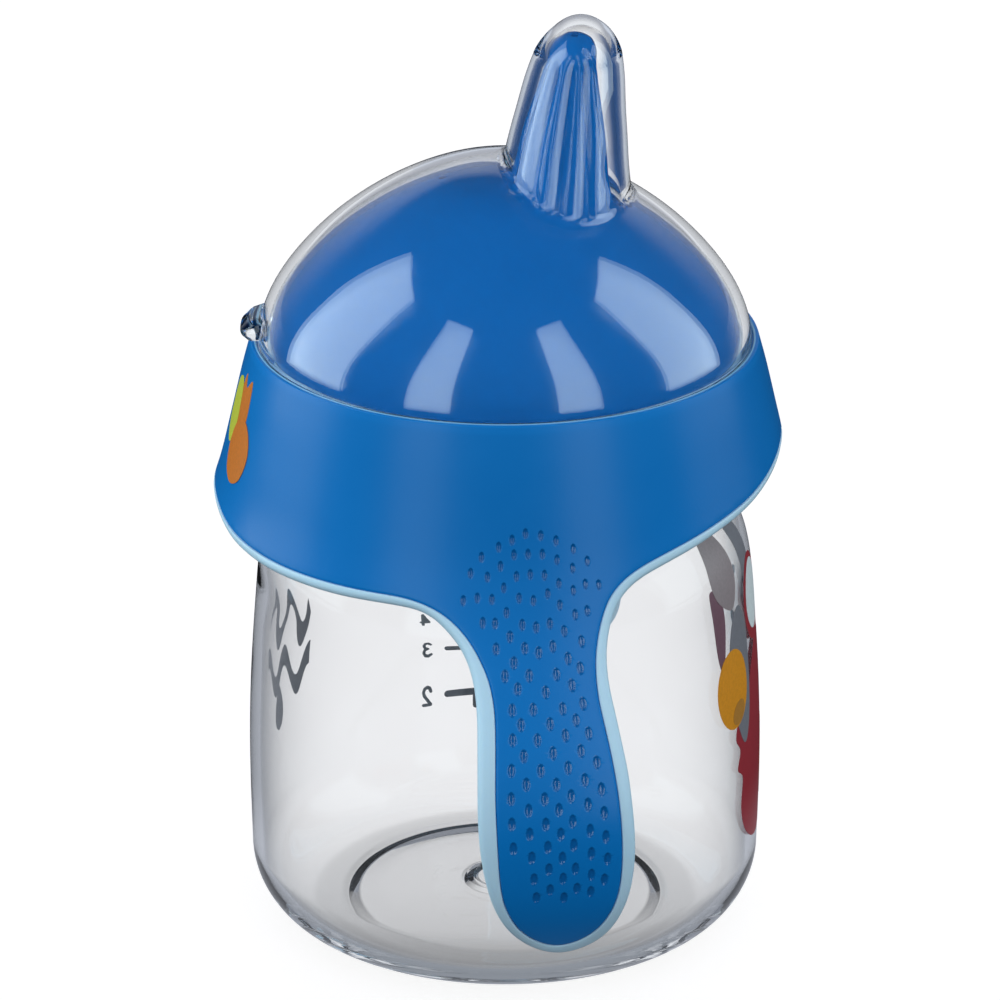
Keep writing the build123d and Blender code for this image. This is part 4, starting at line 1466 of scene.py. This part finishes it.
# painted shadow of the cup: brightness of the floor seen through the bottle, by that distance
FLOOR_SHADOW_STOPS = [(-0.034, 0.28), (-0.022, 0.46), (-0.012, 0.66), (0.002, 0.80), (0.016, 0.90),
               (0.036, 0.99), (0.066, 1.0), (0.11, 0.98)]


def floor_material():
    """Pale floor. Past the cup it is white; through and in the cup its glow is painted shadow and
    reflection, greyer close to the base.
    """
    material, g = new_material("floor_pale")
    path = g.add("LightPath").outputs
    clear_depth, ray_length = path["Transmission Depth"], path["Ray Length"]
    geometry = g.add("NewGeometry").outputs
    incoming, position = geometry["Incoming"], geometry["Position"]
    through = g.above(clear_depth, 0.5)
    deep = g.above(clear_depth, 2.5)
    leave_z = g.times(g.xyz(incoming)["Z"], ray_length)
    from_cap = g.above(leave_z, CAP_FROM)
    from_housing = g.above(leave_z, HOUSING_FROM)
    seen = g.camera_xyz(incoming)
    across, away = seen[0], g.away(seen)
    side = g.math("ABSOLUTE", across)

    # seen straight through the bottle: a painted shadow of the cup, darker close to the base, towards
    # the sides and just under the underside
    spot = g.remap(g.away(g.camera_xyz(position)), gives=(0.0, 1.0), span=SPOT_SPAN)
    stops = [((y + 0.04) / 0.16, (b, b * 1.003, b * 1.012)) for y, b in FLOOR_SHADOW_STOPS]
    painted_side_shade = g.ease(side, span=(0.03, 0.32), gives=(1.0, 0.42))
    painted_contact_shadow = g.ease(ray_length, span=(0.0002, 0.0009), gives=(0.86, 1.0))
    shade = g.times(painted_side_shade, painted_contact_shadow)
    shade = g.add("CombineColor", {0: shade, 1: shade, 2: shade}).outputs[0]
    seen_bottle = g.add("Mix", {0: 1.0, 6: g.ramp(spot, stops), 7: shade},
                        data_type="RGBA", blend_type="MULTIPLY").outputs[2]
    # seen straight through the cap: white, with a painted dark-blue reflection at the spout housing's
    # sides
    bent = g.times(g.ease(side, span=(0.12, 0.36), gives=(0.0, 1.0)), from_housing)
    seen_cap = g.mix(bent, off=(0.96, 0.97, 0.98), on=(0.05, 0.12, 0.30))
    seen_through = g.mix(from_cap, off=seen_bottle, on=seen_cap)

    # refracted in the bottle: painted grey edges, darker near the base
    above_base = g.ease(leave_z, span=(0.0015, 0.012), gives=(0.0, 1.0))
    edge_bottle = g.mix(above_base, off=(0.24, 0.265, 0.30), on=(0.50, 0.53, 0.59))
    edge_bottle = g.mix(deep, off=edge_bottle, on=(0.30, 0.32, 0.36))
    # how far a ray was thrown outwards where it left the spout housing, for the housing walls'
    # painted light and dark blue
    leave = g.add("VectorMath", {0: incoming, "Scale": ray_length}, operation="SCALE").outputs[0]
    leave = g.add("VectorMath", {0: leave, 1: position}, operation="ADD").outputs[0]
    offset = g.add("VectorMath", {0: leave, 1: (HOUSING_X, 0.0, 0.0)},
                   operation="SUBTRACT").outputs[0]
    sign = g.math("SIGN", g.camera_xyz(offset)[0])
    thrown = g.times(g.times(sign, across), -1.0)
    painted_wall_colour = g.mix(g.ease(thrown, span=(0.30, 0.44), gives=(0.0, 1.0)),
                        off=(0.66, 0.72, 0.82), on=(0.03, 0.085, 0.235))
    # refracted in the cap: painted reflections, bright or dark, and blue where the dome shows in the
    # housing, rim and tab
    edge_cap = g.mix(onward_share(g, away), off=DARK, on=BRIGHT)
    edge_cap = g.mix(from_housing, off=edge_cap, on=painted_wall_colour)
    painted_deep_cap = g.mix(g.above(leave_z, DEEP_CAP_FROM), off=(0.40, 0.58, 0.74),
                     on=(0.16, 0.25, 0.42))
    painted_deep_cap = g.mix(g.above(clear_depth, 4.5), off=(0.008, 0.009, 0.011), on=painted_deep_cap)
    edge_cap = g.mix(deep, off=edge_cap, on=painted_deep_cap)
    edge = g.mix(from_cap, off=edge_bottle, on=edge_cap)
    # mirrored by opaque parts: a painted reflection, mid grey for rays that left close to the floor,
    # black for higher ones
    low = g.ease(leave_z, span=(0.010, 0.026), gives=(1.0, 0.0))
    mirror = g.mix(through, off=g.mix(low, off=BLACK, on=MIDDLE), on=edge)

    glow = g.mix(g.above(path["Glossy Depth"], 0.5), off=seen_through, on=mirror)
    glow = g.mix(g.above(path["Diffuse Depth"], 0.5), off=glow, on=grey(0.05))
    glow = g.mix(path["Is Camera Ray"], off=glow, on=(0.855, 0.85, 0.84))
    albedo = g.mix(path["Is Diffuse Ray"], off=grey(0.0), on=grey(0.12))
    albedo = g.mix(path["Is Camera Ray"], off=albedo, on=grey(0.5))
    emission = g.add("Emission", {"Color": glow}).outputs[0]
    diffuse = g.add("BsdfDiffuse", {"Color": albedo}).outputs[0]
    g.output(g.add("AddShader", {0: diffuse, 1: emission}).outputs[0])
    return material


bpy.ops.mesh.primitive_plane_add(size=60.0, location=(0, 0, -0.00003))
floor = bpy.context.active_object
floor.name = "floor"
floor.data.materials.append(floor_material())

# =====================================================================  camera and render
lens = bpy.data.cameras.new("camera")
lens.sensor_width, lens.lens = 36.0, 227.33
lens.clip_start, lens.clip_end = 0.05, 100
camera = bpy.data.objects.new("camera", lens)
camera.location = (0, -0.85, 0.40727)
camera.rotation_euler = (math.radians(68.004), 0, 0.0008)
scene.collection.objects.link(camera)
scene.camera = camera
scene.view_settings.view_transform = "Standard"
scene.view_settings.look = "None"
scene.cycles.max_bounces = 40
scene.cycles.transmission_bounces = 32
scene.cycles.transparent_max_bounces = 32
scene.cycles.glossy_bounces = 28
scene.cycles.diffuse_bounces = 4
